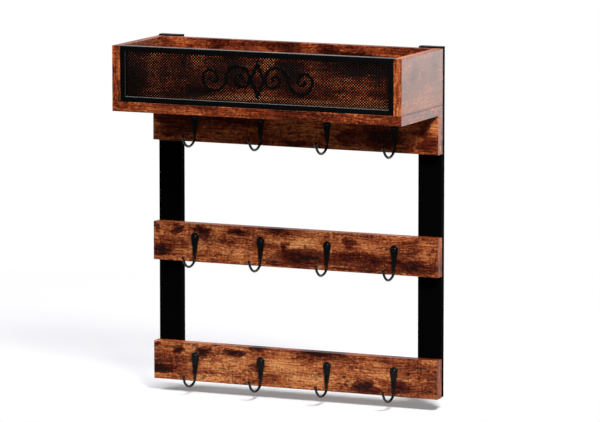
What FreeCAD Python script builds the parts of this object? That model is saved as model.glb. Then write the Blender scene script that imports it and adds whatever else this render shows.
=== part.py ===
"""Wall-hung mug rack: two posts, three hook rails and an open shelf with a mesh front.

Millimetres, +Z up, the front faces -Y. The origin lies on the wall plane, midway between
the two keyholes by which the rack hangs.
"""
import FreeCAD, Part
import math
import os

import Sketcher

SIZES = {
    # boards
    "overall_width": 445,
    "rail_height": 56,
    "rail_thickness": 16,
    "rail_pitch": 175,
    "post_width": 35,
    "post_thickness": 12,
    "post_inset": 1.8,
    "post_rise": 2,
    "shelf_depth": 150,
    "base_thickness": 14,
    "side_height": 80,
    "side_thickness": 12,
    "back_thickness": 12,
    "edge_round": 0.8,
    # mesh front
    "frame_bar_width": 8,
    "frame_bar_depth": 9,
    "frame_setback": 1,
    "frame_edge_round": 0.8,
    "frame_clearance": 0.2,
    "rebate_width": 3,
    "mesh_thickness": 1.2,
    "mesh_clearance": 0.2,
    "mesh_columns": 33,
    "mesh_strand": 2.2,
    "ornament_height": 56,
    "ornament_stroke": 4,
    "ornament_thickness": 1.6,
    "lozenge_width": 24,
    "scroll_radius": 18,
    "scroll_inner_radius": 11,
    "scroll_eye_radius": 5.5,
    # hooks
    "hook_margin": 66.5,
    "hook_rise": 43,
    "hook_plate_width": 12,
    "hook_plate_thickness": 2,
    "hook_wire": 3.6,
    "hook_tail_rise": 11,
    "hook_bend_rise": 5.5,
    "hook_bend_radius": 6,
    "hook_bend_angle": 51,
    "hook_bowl_radius": 23.5,
    "hook_bowl_angle": 111,
    "hook_tip_diameter": 5,
    "hook_rim_bevel": 0.5,
    "hook_root": 2,
    "hook_shoulder": 0.2,
    "hook_flat_length": 19,
    # screws and dowels
    "screw_clearance": 0.15,
    "screw_diameter": 4,
    "screw_head": 8,
    "post_screw_length": 22,
    "base_screw_length": 34,
    "frame_screw_length": 20,
    "hook_screw_diameter": 3.5,
    "hook_screw_head": 6.6,
    "hook_screw_head_height": 2,
    "hook_screw_length": 14,
    "screw_point": 4,
    "rail_screw_spacing": 28,
    "back_screw_inset": 14,
    "back_screw_margin": 9,
    "base_screw_inset": 30,
    "base_screw_spacing": 130,
    "dowel_diameter": 6,
    "dowel_length": 24,
    "dowel_depth": 8,
    "dowel_margin": 20,
    "dowel_chamfer": 0.8,
    # wall hangers
    "hanger_drop": 40,
    "hanger_width": 18,
    "hanger_height": 40,
    "hanger_foot": 17,
    "hanger_thickness": 2,
    "hanger_corner": 4,
    "hanger_clearance": 0.2,
    "keyhole_radius": 5,
    "keyhole_slot_radius": 2.3,
    "keyhole_rise": 9,
    "keyhole_cavity": 5,
    "keyhole_margin": 1,
    "hanger_screw_diameter": 3,
    "hanger_screw_head": 5.6,
    "hanger_screw_length": 9,
    "hanger_screw_margin": 5.5,
}

# Levels and places, each written once as an expression on the sheet's cells.
RACK_HEIGHT = ("(2 * sizes.rail_pitch + sizes.rail_height + sizes.base_thickness"
               " + sizes.side_height + sizes.post_rise)")
BOTTOM = f"(sizes.hanger_drop - {RACK_HEIGHT})"
POST_FRONT = "(-sizes.post_thickness)"
RAIL_FRONT = f"({POST_FRONT} - sizes.rail_thickness)"
SHELF_FRONT = f"({POST_FRONT} - sizes.shelf_depth)"
BASE_LEVEL = f"({BOTTOM} + 2 * sizes.rail_pitch + sizes.rail_height)"
TRAY_FLOOR = f"({BASE_LEVEL} + sizes.base_thickness)"
POST_CENTRE = "(sizes.overall_width / 2 - sizes.post_inset - sizes.post_width / 2)"
SIDE_CENTRE = "(sizes.overall_width / 2 - sizes.side_thickness / 2)"
TRAY_WIDTH = "(sizes.overall_width - 2 * sizes.side_thickness)"
BACK_CENTRE = f"({POST_FRONT} - sizes.back_thickness / 2)"
FRAME_FRONT = f"({SHELF_FRONT} + sizes.frame_setback)"
FRAME_WIDTH = f"({TRAY_WIDTH} - 2 * sizes.frame_clearance)"
FRAME_CENTRE = f"({FRAME_FRONT} + sizes.frame_bar_depth / 2)"
MESH_FRONT = f"({FRAME_FRONT} + sizes.frame_bar_depth - sizes.mesh_thickness)"
SCREW_RADIUS = "(sizes.screw_diameter / 2)"
SCREW_BORE = f"({SCREW_RADIUS} + sizes.screw_clearance)"
RAIL_LEVELS = {
    "bottom": BOTTOM,
    "middle": f"({BOTTOM} + sizes.rail_pitch)",
    "top": f"({BOTTOM} + 2 * sizes.rail_pitch)",
}
HOOK_PITCH = "((sizes.overall_width - 2 * sizes.hook_margin) / 3)"
HOOK_PLACES = [f"({place} * {HOOK_PITCH})" for place in (-1.5, -0.5, 0.5, 1.5)]
HOOK_HEAD = "(sizes.hook_rise - sizes.hook_plate_width / 2)"
HOOK_AXIS = "(-sizes.hook_wire / 2 - sizes.hook_shoulder)"
BEND_TURN = "(sizes.hook_bend_angle * 1deg)"
TIP_TURN = "((sizes.hook_bend_angle + sizes.hook_bowl_angle) * 1deg)"
BOWL_STEP = "(sizes.hook_bowl_radius - sizes.hook_bend_radius)"
BOWL_CENTRE = (
    f"({HOOK_AXIS} - sizes.hook_bend_radius - {BOWL_STEP} * cos({BEND_TURN}))",
    f"(sizes.hook_bend_rise + {BOWL_STEP} * sin({BEND_TURN}))",
)
HOOK_TIP = (
    f"({BOWL_CENTRE[0]} + sizes.hook_bowl_radius * cos({TIP_TURN}))",
    f"({BOWL_CENTRE[1]} - sizes.hook_bowl_radius * sin({TIP_TURN}))",
)
SIDES = {"left": -1, "right": 1}

doc = FreeCAD.newDocument("mug_rack")
sheet = doc.addObject("Spreadsheet::Sheet", "sizes")
for row, (alias, size) in enumerate(SIZES.items(), start=1):
    sheet.set(f"A{row}", alias)
    sheet.set(f"B{row}", str(size))
    sheet.setAlias(f"B{row}", alias)
doc.recompute()

nodes = []


def value(expression):
    """Return the number that an expression on the sheet gives."""
    return float(sheet.evalExpression(str(expression)))


def vector(x, y, z=0):
    """Return the point whose coordinates are three expressions."""
    return FreeCAD.Vector(value(x), value(y), value(z))


def place(thing, x=0, y=0, z=0, rotation=None):
    """Bind a node's place to three expressions, after its turn."""
    if rotation:
        thing.Placement.Rotation = rotation
    for axis, expression in zip("xyz", (x, y, z)):
        thing.setExpression(f"Placement.Base.{axis}", str(expression))


def new_body(label):
    """Start a node as a body of its own."""
    body = doc.addObject("PartDesign::Body", label)
    body.Label = label
    nodes.append(body)
    return body


def sketch_on(body, name, role, offset="0"):
    """Attach a sketch to one of the body's own origin planes, moved along its normal."""
    sketch = body.newObject("Sketcher::SketchObject", name)
    plane = next(item for item in body.Origin.OriginFeatures if item.Role == role)
    sketch.AttachmentSupport = [(plane, "")]
    sketch.MapMode = "FlatFace"
    sketch.setExpression("AttachmentOffset.Base.z", str(offset))
    return sketch


def fix(sketch, kind, *where, size):
    """Add a dimension to a sketch and bind it to an expression."""
    index = sketch.addConstraint(Sketcher.Constraint(kind, *where, value(size)))
    sketch.setExpression(f"Constraints[{index}]", str(size))


def polygon(sketch, corners):
    """Draw a closed polygon with each corner dimensioned from the sketch's origin."""
    points = [vector(x, y) for x, y in corners]
    first = sketch.GeometryCount
    for start, end in zip(points, points[1:] + points[:1]):
        sketch.addGeometry(Part.LineSegment(start, end), False)
    for step, (x, y) in enumerate(corners):
        line = first + step
        following = first + (step + 1) % len(corners)
        sketch.addConstraint(Sketcher.Constraint("Coincident", line, 2, following, 1))
        fix(sketch, "DistanceX", -1, 1, line, 1, size=x)
        fix(sketch, "DistanceY", -1, 1, line, 1, size=y)


def rectangle(sketch, left, bottom, right, top):
    """Draw a rectangle from its four sides."""
    polygon(sketch, [(left, bottom), (right, bottom), (right, top), (left, top)])


def circles(sketch, centres, radius):
    """Draw equal circles with their centres dimensioned from the sketch's origin."""
    for x, y in centres:
        curve = Part.Circle(vector(x, y), FreeCAD.Vector(0, 0, 1), value(radius))
        circle = sketch.addGeometry(curve, False)
        fix(sketch, "DistanceX", -1, 1, circle, 3, size=x)
        fix(sketch, "DistanceY", -1, 1, circle, 3, size=y)
        fix(sketch, "Radius", circle, size=radius)


def pad(body, sketch, length):
    """Thicken a sketch along its plane's normal."""
    feature = body.newObject("PartDesign::Pad", sketch.Name + "_pad")
    feature.Profile = sketch
    feature.setExpression("Length", str(length))
    doc.recompute()
    return feature


def must_cut(body, feature, before):
    """Stop the build if a cut has missed the solid."""
    doc.recompute()
    if body.Shape.Volume >= before - 1e-6:
        raise RuntimeError(f"{feature.Label} of {body.Label} cuts nothing")


def pocket(body, sketch, depth=None, along_normal=False):
    """Cut a sketch's shape out of the body, through it or to a depth."""
    before = body.Shape.Volume
    feature = body.newObject("PartDesign::Pocket", sketch.Name + "_cut")
    feature.Profile = sketch
    feature.Reversed = along_normal
    if depth is None:
        feature.Type = "ThroughAll"
    else:
        feature.setExpression("Length", str(depth))
    must_cut(body, feature, before)


def bores(body, name, role, offset, centres, radius, depth, along_normal=False):
    """Drill equal round holes from a plane of the body."""
    sketch = sketch_on(body, name, role, offset)
    circles(sketch, centres, radius)
    pocket(body, sketch, depth, along_normal)


def countersunk_holes(body, name, role, centres, radius, head_radius, along_normal=False):
    """Drill through holes with a countersink on the side of an origin plane."""
    sketch = sketch_on(body, name, role)
    circles(sketch, centres, radius)
    doc.recompute()
    before = body.Shape.Volume
    hole = body.newObject("PartDesign::Hole", name + "_hole")
    hole.Profile = sketch
    hole.ThreadType = "None"
    hole.DepthType = "ThroughAll"
    hole.setExpression("Diameter", f"2 * ({radius})")
    hole.HoleCutType = "Countersink"
    hole.setExpression("HoleCutDiameter", f"2 * ({head_radius})")
    hole.HoleCutCountersinkAngle = 90
    hole.Reversed = along_normal
    must_cut(body, hole, before)


def dress(body, kind, edges, size, size_property):
    """Round or bevel the chosen edges of the body's last feature."""
    last = body.Tip
    feature = body.newObject(kind, kind.split("::")[1].lower())
    feature.Base = (last, edges)
    feature.setExpression(size_property, str(size))
    doc.recompute()


def edge_names(shape, chosen):
    """Return the names of the edges that a test picks."""
    return [f"Edge{index}" for index, edge in enumerate(shape.Edges, start=1) if chosen(edge)]


def board(label, role, half_width, height, thickness):
    """Make a plain board: centred across its width, standing on its plane's first axis."""
    body = new_body(label)
    outline = sketch_on(body, "outline", role)
    rectangle(outline, f"-{half_width}", "0", half_width, height)
    pad(body, outline, thickness)
    return body


def post_centres(side):
    """Return the screw places on one post, in the post's own frame: rails first, then the shelf."""
    rails = [
        ("0", f"({level} - {BOTTOM} + sizes.rail_height / 2 + {half} * sizes.rail_screw_spacing)")
        for level in RAIL_LEVELS.values()
        for half in (-0.5, 0.5)
    ]
    inward = f"({side} * ({TRAY_WIDTH} / 2 - sizes.back_screw_inset - {POST_CENTRE}))"
    floor = f"({TRAY_FLOOR} - {BOTTOM})"
    shelf = [
        ("0", f"({floor} - sizes.base_thickness / 2)"),
        (inward, f"({floor} + sizes.back_screw_margin)"),
        (inward, f"({floor} + sizes.side_height - sizes.back_screw_margin)"),
    ]
    return rails, shelf


def make_post(name, side):
    """One upright: drilled for its screws from behind and recessed for its hanger."""
    post = board(f"{name}_post", "XZ_Plane", "sizes.post_width / 2", RACK_HEIGHT, "sizes.post_thickness")
    rails, shelf = post_centres(side)
    countersunk_holes(
        post, "screw_holes", "XZ_Plane", rails + shelf, SCREW_BORE,
        "(sizes.screw_head / 2 + sizes.screw_clearance)", along_normal=True)
    hang = f"({RACK_HEIGHT} - sizes.hanger_drop)"
    recess = sketch_on(post, "hanger_recess", "XZ_Plane")
    half = "(sizes.hanger_width / 2 + sizes.hanger_clearance)"
    rectangle(
        recess, f"-{half}", f"({hang} - sizes.hanger_foot - sizes.hanger_clearance)", half,
        f"({hang} - sizes.hanger_foot + sizes.hanger_height + sizes.hanger_clearance)")
    pocket(post, recess, "sizes.hanger_thickness", along_normal=True)
    room = "(sizes.keyhole_radius + sizes.keyhole_margin)"
    deep = "(sizes.hanger_thickness + sizes.keyhole_cavity)"
    bores(post, "head_room", "XZ_Plane", 0, [("0", hang)], room, deep, along_normal=True)
    bores(post, "head_room_above", "XZ_Plane", 0, [("0", f"({hang} + sizes.keyhole_rise)")], room, deep,
          along_normal=True)
    bores(post, "hanger_pilots", "XZ_Plane", 0, [("0", f"({hang} + {z})") for z in hanger_screw_levels()],
          "(sizes.hanger_screw_diameter / 2 + sizes.screw_clearance)",
          "(sizes.hanger_screw_length + sizes.screw_clearance)", along_normal=True)
    place(post, f"{side} * {POST_CENTRE}", 0, BOTTOM)


def hanger_screw_levels():
    """Return the levels of a hanger's two screws above its keyhole."""
    foot = "(sizes.hanger_screw_margin - sizes.hanger_foot)"
    head = "(sizes.hanger_height - sizes.hanger_foot - sizes.hanger_screw_margin)"
    return [foot, head]


def make_hanger(name, side):
    """A keyhole plate: a wall screw's head goes in at the round end and slides up the slot."""
    plate = new_body(f"{name}_hanger")
    outline = sketch_on(plate, "outline", "XZ_Plane")
    rectangle(outline, "-sizes.hanger_width / 2", "-sizes.hanger_foot", "sizes.hanger_width / 2",
              "sizes.hanger_height - sizes.hanger_foot")
    pad(plate, outline, "sizes.hanger_thickness")
    half_thick = value("sizes.hanger_thickness / 2")
    upright = edge_names(plate.Shape, lambda edge: edge.BoundBox.YLength > half_thick)
    dress(plate, "PartDesign::Fillet", upright, "sizes.hanger_corner", "Radius")
    bores(plate, "keyhole", "XZ_Plane", 0, [("0", "0")], "sizes.keyhole_radius", None, along_normal=True)
    slot = sketch_on(plate, "slot", "XZ_Plane")
    rectangle(slot, "-sizes.keyhole_slot_radius", "0", "sizes.keyhole_slot_radius", "sizes.keyhole_rise")
    pocket(plate, slot, None, along_normal=True)
    bores(plate, "slot_end", "XZ_Plane", 0, [("0", "sizes.keyhole_rise")], "sizes.keyhole_slot_radius", None,
          along_normal=True)
    countersunk_holes(
        plate, "screw_holes", "XZ_Plane", [("0", z) for z in hanger_screw_levels()],
        "(sizes.hanger_screw_diameter / 2 + sizes.screw_clearance)",
        "(sizes.hanger_screw_head / 2 + sizes.screw_clearance)", along_normal=True)
    place(plate, f"{side} * {POST_CENTRE}", 0, 0)


def ease_edges(body):
    """Round a board's long straight corners a little, as an edge banding does."""
    box = body.Shape.BoundBox
    longest = max(box.XLength, box.YLength, box.ZLength)
    names = edge_names(body.Shape, lambda edge: abs(edge.Length - longest) < 1e-6)
    dress(body, "PartDesign::Fillet", names, "sizes.edge_round", "Radius")


def make_rail(name, level):
    """One hook rail, with blind pilot holes behind for the posts and in front for the hooks."""
    rail = board(f"{name}_rail", "XZ_Plane", "sizes.overall_width / 2", "sizes.rail_height",
                 "sizes.rail_thickness")
    ease_edges(rail)
    centres = [
        (f"({side} * {POST_CENTRE})", f"(sizes.rail_height / 2 + {half} * sizes.rail_screw_spacing)")
        for side in SIDES.values()
        for half in (-0.5, 0.5)
    ]
    bores(rail, "post_pilots", "XZ_Plane", 0, centres, SCREW_BORE,
          "(sizes.post_screw_length - sizes.post_thickness + sizes.screw_clearance)", along_normal=True)
    bores(rail, "hook_pilots", "XZ_Plane", "sizes.rail_thickness",
          [(x, HOOK_HEAD) for x in HOOK_PLACES],
          "(sizes.hook_screw_diameter / 2 + sizes.screw_clearance)",
          "(sizes.hook_screw_length - sizes.hook_plate_thickness + sizes.screw_clearance)")
    place(rail, 0, POST_FRONT, level)


def base_screw_places():
    """Return where the long screws go up through the base: into the sides, then into the back."""
    front = f"({SHELF_FRONT} + sizes.base_screw_inset)"
    rear = f"({POST_FRONT} - sizes.base_screw_inset)"
    sides = [(f"({side} * {SIDE_CENTRE})", y) for side in SIDES.values() for y in (front, rear)]
    back = [(f"({step} * sizes.base_screw_spacing)", BACK_CENTRE) for step in (-1, 0, 1)]
    return sides, back


def frame_screw_places():
    """Return where the short screws go up through the base into the frame's lower bar."""
    return [(f"({step} * sizes.base_screw_spacing)", FRAME_CENTRE) for step in (-1, 0, 1)]


def make_base():
    """The shelf's floor, which runs the full width under the side boards."""
    base = board("shelf_base", "XY_Plane", "sizes.overall_width / 2", "sizes.shelf_depth",
                 "sizes.base_thickness")
    ease_edges(base)
    sides, back = base_screw_places()
    local = [(x, f"({y} - {SHELF_FRONT})") for x, y in sides + back + frame_screw_places()]
    countersunk_holes(base, "screw_holes", "XY_Plane", local, SCREW_BORE,
                      "(sizes.screw_head / 2 + sizes.screw_clearance)", along_normal=True)
    bores(base, "post_pilots", "XZ_Plane", "-sizes.shelf_depth",
          [(f"({side} * {POST_CENTRE})", "sizes.base_thickness / 2") for side in SIDES.values()], SCREW_BORE,
          "(sizes.post_screw_length - sizes.post_thickness + sizes.screw_clearance)", along_normal=True)
    place(base, 0, SHELF_FRONT, BASE_LEVEL)


def dowel_levels():
    """Return the levels of a corner's two dowels above the shelf's floor."""
    return ["sizes.dowel_margin", "(sizes.side_height - sizes.dowel_margin)"]


def base_pilot_depth():
    """Return how deep the pilot holes for the long base screws are."""
    return "(sizes.base_screw_length - sizes.base_thickness + sizes.screw_clearance)"


def make_side(name, side):
    """One end board of the shelf, standing on the base."""
    body = board(f"shelf_{name}_side", "YZ_Plane", "sizes.shelf_depth / 2", "sizes.side_height",
                 "sizes.side_thickness")
    ease_edges(body)
    middle = f"({SHELF_FRONT} + sizes.shelf_depth / 2)"
    pilots = [("sizes.side_thickness / 2", f"({y} - {middle})") for y in (
        f"({SHELF_FRONT} + sizes.base_screw_inset)", f"({POST_FRONT} - sizes.base_screw_inset)")]
    bores(body, "base_pilots", "XY_Plane", 0, pilots, SCREW_BORE, base_pilot_depth(), along_normal=True)
    inner_face = "sizes.side_thickness" if side < 0 else "0"
    bores(body, "dowel_holes", "YZ_Plane", inner_face,
          [(f"({BACK_CENTRE} - {middle})", z) for z in dowel_levels()],
          "(sizes.dowel_diameter / 2 + sizes.screw_clearance)", "(sizes.dowel_depth + sizes.screw_clearance)",
          along_normal=side > 0)
    outer_edge = "-sizes.overall_width / 2" if side < 0 else "sizes.overall_width / 2 - sizes.side_thickness"
    place(body, outer_edge, middle, TRAY_FLOOR)


def make_back():
    """The shelf's back board, held between the sides."""
    back = board("shelf_back", "XZ_Plane", f"{TRAY_WIDTH} / 2", "sizes.side_height", "sizes.back_thickness")
    ease_edges(back)
    inset = f"({TRAY_WIDTH} / 2 - sizes.back_screw_inset)"
    levels = ["sizes.back_screw_margin", "(sizes.side_height - sizes.back_screw_margin)"]
    bores(back, "post_pilots", "XZ_Plane", 0,
          [(f"({side} * {inset})", z) for side in SIDES.values() for z in levels], SCREW_BORE,
          "(sizes.post_screw_length - sizes.post_thickness + sizes.screw_clearance)", along_normal=True)
    bores(back, "base_pilots", "XY_Plane", 0,
          [(x, "-sizes.back_thickness / 2") for x, _ in base_screw_places()[1]], SCREW_BORE,
          base_pilot_depth(), along_normal=True)
    for name, side in SIDES.items():
        bores(back, f"{name}_dowel_holes", "YZ_Plane", f"{side} * {TRAY_WIDTH} / 2",
              [("-sizes.back_thickness / 2", z) for z in dowel_levels()],
              "(sizes.dowel_diameter / 2 + sizes.screw_clearance)",
              "(sizes.dowel_length - sizes.dowel_depth + sizes.screw_clearance)", along_normal=side < 0)
    place(back, 0, POST_FRONT, TRAY_FLOOR)


def make_frame_bar(name, length, x, z, turn):
    """One mitred bar of the front frame: rebated behind for the mesh, its outer edge at the bottom."""
    bar = new_body(f"frame_{name}_bar")
    section = sketch_on(bar, "section", "YZ_Plane", f"-{length} / 2")
    depth = "sizes.frame_bar_depth"
    width = "sizes.frame_bar_width"
    shoulder = f"({depth} - sizes.mesh_thickness)"
    ledge = f"({width} - sizes.rebate_width)"
    polygon(section, [
        ("0", "0"), (depth, "0"), (depth, ledge), (shoulder, ledge), (shoulder, width), ("0", width)])
    pad(bar, section, length)
    front = edge_names(bar.Shape, lambda edge: edge.BoundBox.YMax < 1e-6 and edge.BoundBox.XLength > 1)
    dress(bar, "PartDesign::Fillet", front, "sizes.frame_edge_round", "Radius")
    mitres = sketch_on(bar, "mitres", "XZ_Plane", "-sizes.frame_bar_depth")
    for side in SIDES.values():
        end = f"({side} * {length} / 2)"
        polygon(mitres, [(end, "0"), (end, width), (f"({end} - {side} * {width})", width)])
    pocket(bar, mitres, None, along_normal=True)
    if name == "bottom":
        bores(bar, "base_pilots", "XY_Plane", 0,
              [(px, f"({py} - {FRAME_FRONT})") for px, py in frame_screw_places()], SCREW_BORE,
              "(sizes.frame_screw_length - sizes.base_thickness + sizes.screw_clearance)", along_normal=True)
    place(bar, x, FRAME_FRONT, z, FreeCAD.Rotation(FreeCAD.Vector(0, 1, 0), turn))


def make_frame():
    """The four bars of the front frame."""
    half = f"{FRAME_WIDTH} / 2"
    middle = f"{TRAY_FLOOR} + sizes.side_height / 2"
    make_frame_bar("bottom", FRAME_WIDTH, "0", TRAY_FLOOR, 0)
    make_frame_bar("top", FRAME_WIDTH, "0", f"{TRAY_FLOOR} + sizes.side_height", 180)
    make_frame_bar("left", "sizes.side_height", f"-{half}", middle, 90)
    make_frame_bar("right", "sizes.side_height", half, middle, -90)


def shape_node(label, shape, x=0, y=0, z=0):
    """Keep a shape made by Part's own functions as a node, bound to its place."""
    feature = doc.addObject("Part::Feature", label)
    feature.Label = label
    feature.Shape = shape
    place(feature, x, y, z)
    nodes.append(feature)


def flat_wire(points):
    """Return a closed wire through points of the front plane."""
    corners = [FreeCAD.Vector(x, 0, z) for x, z in points]
    return Part.makePolygon(corners + corners[:1])


def make_mesh():
    """The diamond mesh: one holed sheet seated in the frame's rebate."""
    frame_opening = f"({FRAME_WIDTH} - 2 * sizes.frame_bar_width)"
    seat = "(sizes.rebate_width - sizes.mesh_clearance)"
    half_width = value(f"{frame_opening} / 2 + {seat}")
    half_height = value(f"sizes.side_height / 2 - sizes.frame_bar_width + {seat}")
    clear_width = value(frame_opening)
    clear_height = value("sizes.side_height - 2 * sizes.frame_bar_width")
    columns = int(value("sizes.mesh_columns"))
    strand = value("sizes.mesh_strand")
    pitch = clear_width / columns
    half_gap = pitch / 2 - strand / math.sqrt(2)
    rows = int(clear_height / (pitch / 2)) - 1
    lowest = -(rows - 1) * pitch / 4
    gaps = []
    for row in range(rows):
        z = lowest + row * pitch / 2
        in_row = columns - row % 2
        for column in range(in_row):
            x = (column - (in_row - 1) / 2) * pitch
            gaps.append(flat_wire([
                (x - half_gap, z), (x, z - half_gap), (x + half_gap, z), (x, z + half_gap)]))
    edge = flat_wire([(-half_width, -half_height), (half_width, -half_height),
                      (half_width, half_height), (-half_width, half_height)])
    sheet_face = Part.makeFace([edge] + gaps, "Part::FaceMakerBullseye")
    mesh = sheet_face.extrude(FreeCAD.Vector(0, value("sizes.mesh_thickness"), 0))
    print("mesh gaps", len(gaps))
    shape_node("front_mesh", mesh, 0, MESH_FRONT, f"{TRAY_FLOOR} + sizes.side_height / 2")


def half_turn(left, right, level):
    """Return half a circle of the front plane on a level line, over it (1) or under it (-1)."""
    radius = (right - left) / 2
    ends = [FreeCAD.Vector(x, 0, 0) for x in (left, right)]
    return Part.Arc(ends[0], FreeCAD.Vector(left + radius, 0, level * abs(radius)), ends[1]).toShape()


def scroll_path(start):
    """Return the middle line of one S-shaped scroll: an eye, two large half turns and an eye."""
    large = 2 * value("sizes.scroll_radius")
    inner = 2 * value("sizes.scroll_inner_radius")
    eye = 2 * value("sizes.scroll_eye_radius")
    end = start + 2 * large
    return Part.Wire([
        half_turn(start + inner - eye, start + inner, 1),
        half_turn(start + inner, start, -1),
        half_turn(start, start + large, 1),
        half_turn(start + large, end, -1),
        half_turn(end, end - inner, 1),
        half_turn(end - inner, end - inner + eye, -1),
    ])


def make_ornament():
    """A lozenge between two mirrored scrolls, cut from sheet and fixed to the front of the mesh."""
    half_stroke = value("sizes.ornament_stroke / 2")
    half_width = value("sizes.lozenge_width / 2")
    half_height = value("sizes.ornament_height / 2")
    corners = flat_wire([(half_width, 0), (0, half_height), (-half_width, 0), (0, -half_height)])
    hollow = corners.makeOffset2D(-2 * half_stroke, 2)
    faces = [Part.Face([corners, hollow])]
    scroll = Part.Face(scroll_path(half_width).makeOffset2D(half_stroke))
    faces += [scroll, scroll.mirror(FreeCAD.Vector(), FreeCAD.Vector(1, 0, 0))]
    front = FreeCAD.Vector(0, value("-sizes.ornament_thickness"), 0)
    pieces = [face.extrude(front) for face in faces]
    ornament = pieces[0].multiFuse(pieces[1:]).removeSplitter()
    shape_node("front_ornament", ornament, 0, MESH_FRONT, f"{TRAY_FLOOR} + sizes.side_height / 2")


def plate_outline(hook, tail_half):
    """Draw a hook's teardrop plate: a round head with straight sides drawn down to the shank."""
    sketch = sketch_on(hook, "plate_outline", "XZ_Plane")
    radius = value("sizes.hook_plate_width / 2")
    head = value(HOOK_HEAD)
    tail = value("sizes.hook_tail_rise")
    half = value(tail_half)
    lean = math.atan((radius - half) / (head - tail))
    touch = (radius * math.cos(lean), head - radius * math.sin(lean))
    bottom = sketch.addGeometry(Part.LineSegment(vector(-half, tail), vector(half, tail)), False)
    right = sketch.addGeometry(Part.LineSegment(vector(half, tail), vector(*touch)), False)
    circle = Part.Circle(vector(0, head), FreeCAD.Vector(0, 0, 1), radius)
    cap = sketch.addGeometry(Part.ArcOfCircle(circle, -lean, math.pi + lean), False)
    left = sketch.addGeometry(Part.LineSegment(vector(-touch[0], touch[1]), vector(-half, tail)), False)
    sketch.addConstraint(Sketcher.Constraint("Coincident", bottom, 2, right, 1))
    sketch.addConstraint(Sketcher.Constraint("Tangent", right, 2, cap, 1))
    sketch.addConstraint(Sketcher.Constraint("Tangent", cap, 2, left, 1))
    sketch.addConstraint(Sketcher.Constraint("Coincident", left, 2, bottom, 1))
    fix(sketch, "DistanceX", -1, 1, cap, 3, size="0")
    fix(sketch, "DistanceY", -1, 1, cap, 3, size=HOOK_HEAD)
    fix(sketch, "Radius", cap, size="sizes.hook_plate_width / 2")
    for end, x in ((1, f"-{tail_half}"), (2, tail_half)):
        fix(sketch, "DistanceX", -1, 1, bottom, end, size=x)
        fix(sketch, "DistanceY", -1, 1, bottom, end, size="sizes.hook_tail_rise")
    return sketch


def wire_spine(hook, axis):
    """Draw the middle line of a hook's wire: down the shank, round a tight bend, along the bowl."""
    sketch = sketch_on(hook, "wire_spine", "YZ_Plane")
    bend = math.radians(value("sizes.hook_bend_angle"))
    bowl = math.radians(value("sizes.hook_bowl_angle"))
    bend_radius = value("sizes.hook_bend_radius")
    bowl_radius = value("sizes.hook_bowl_radius")
    normal = FreeCAD.Vector(0, 0, 1)
    top = vector(axis, "sizes.hook_tail_rise + sizes.hook_root")
    foot = vector(axis, "sizes.hook_bend_rise")
    bend_centre = foot - FreeCAD.Vector(bend_radius, 0, 0)
    bowl_centre = vector(*BOWL_CENTRE)
    shank = sketch.addGeometry(Part.LineSegment(top, foot), False)
    knee_circle = Part.Circle(bend_centre, normal, bend_radius)
    knee = sketch.addGeometry(Part.ArcOfCircle(knee_circle, -bend, 0), False)
    bowl_circle = Part.Circle(bowl_centre, normal, bowl_radius)
    scoop = sketch.addGeometry(Part.ArcOfCircle(bowl_circle, -bend - bowl, -bend), False)
    fix(sketch, "DistanceX", -1, 1, shank, 1, size=axis)
    fix(sketch, "DistanceY", -1, 1, shank, 1, size="sizes.hook_tail_rise + sizes.hook_root")
    fix(sketch, "DistanceX", -1, 1, shank, 2, size=axis)
    fix(sketch, "DistanceY", -1, 1, shank, 2, size="sizes.hook_bend_rise")
    sketch.addConstraint(Sketcher.Constraint("Tangent", shank, 2, knee, 2))
    sketch.addConstraint(Sketcher.Constraint("Tangent", knee, 1, scoop, 2))
    fix(sketch, "Radius", knee, size="sizes.hook_bend_radius")
    fix(sketch, "Radius", scoop, size="sizes.hook_bowl_radius")
    fix(sketch, "DistanceX", -1, 1, scoop, 3, size=BOWL_CENTRE[0])
    fix(sketch, "DistanceX", -1, 1, scoop, 1, size=HOOK_TIP[0])
    return sketch


def soften_plate(hook):
    """Bevel the rim of a hook plate's two front facets, as hammering leaves it."""
    tail = value("sizes.hook_tail_rise")
    fronts = [face for face in hook.Shape.Faces if face.normalAt(0, 0).y < -0.5]

    def on_rim(edge):
        shared = sum(any(edge.isSame(other) for other in face.Edges) for face in fronts)
        return shared == 1 and edge.BoundBox.ZMax > tail + value("sizes.hook_rim_bevel")

    dress(hook, "PartDesign::Chamfer", edge_names(hook.Shape, on_rim), "sizes.hook_rim_bevel", "Size")


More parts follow.
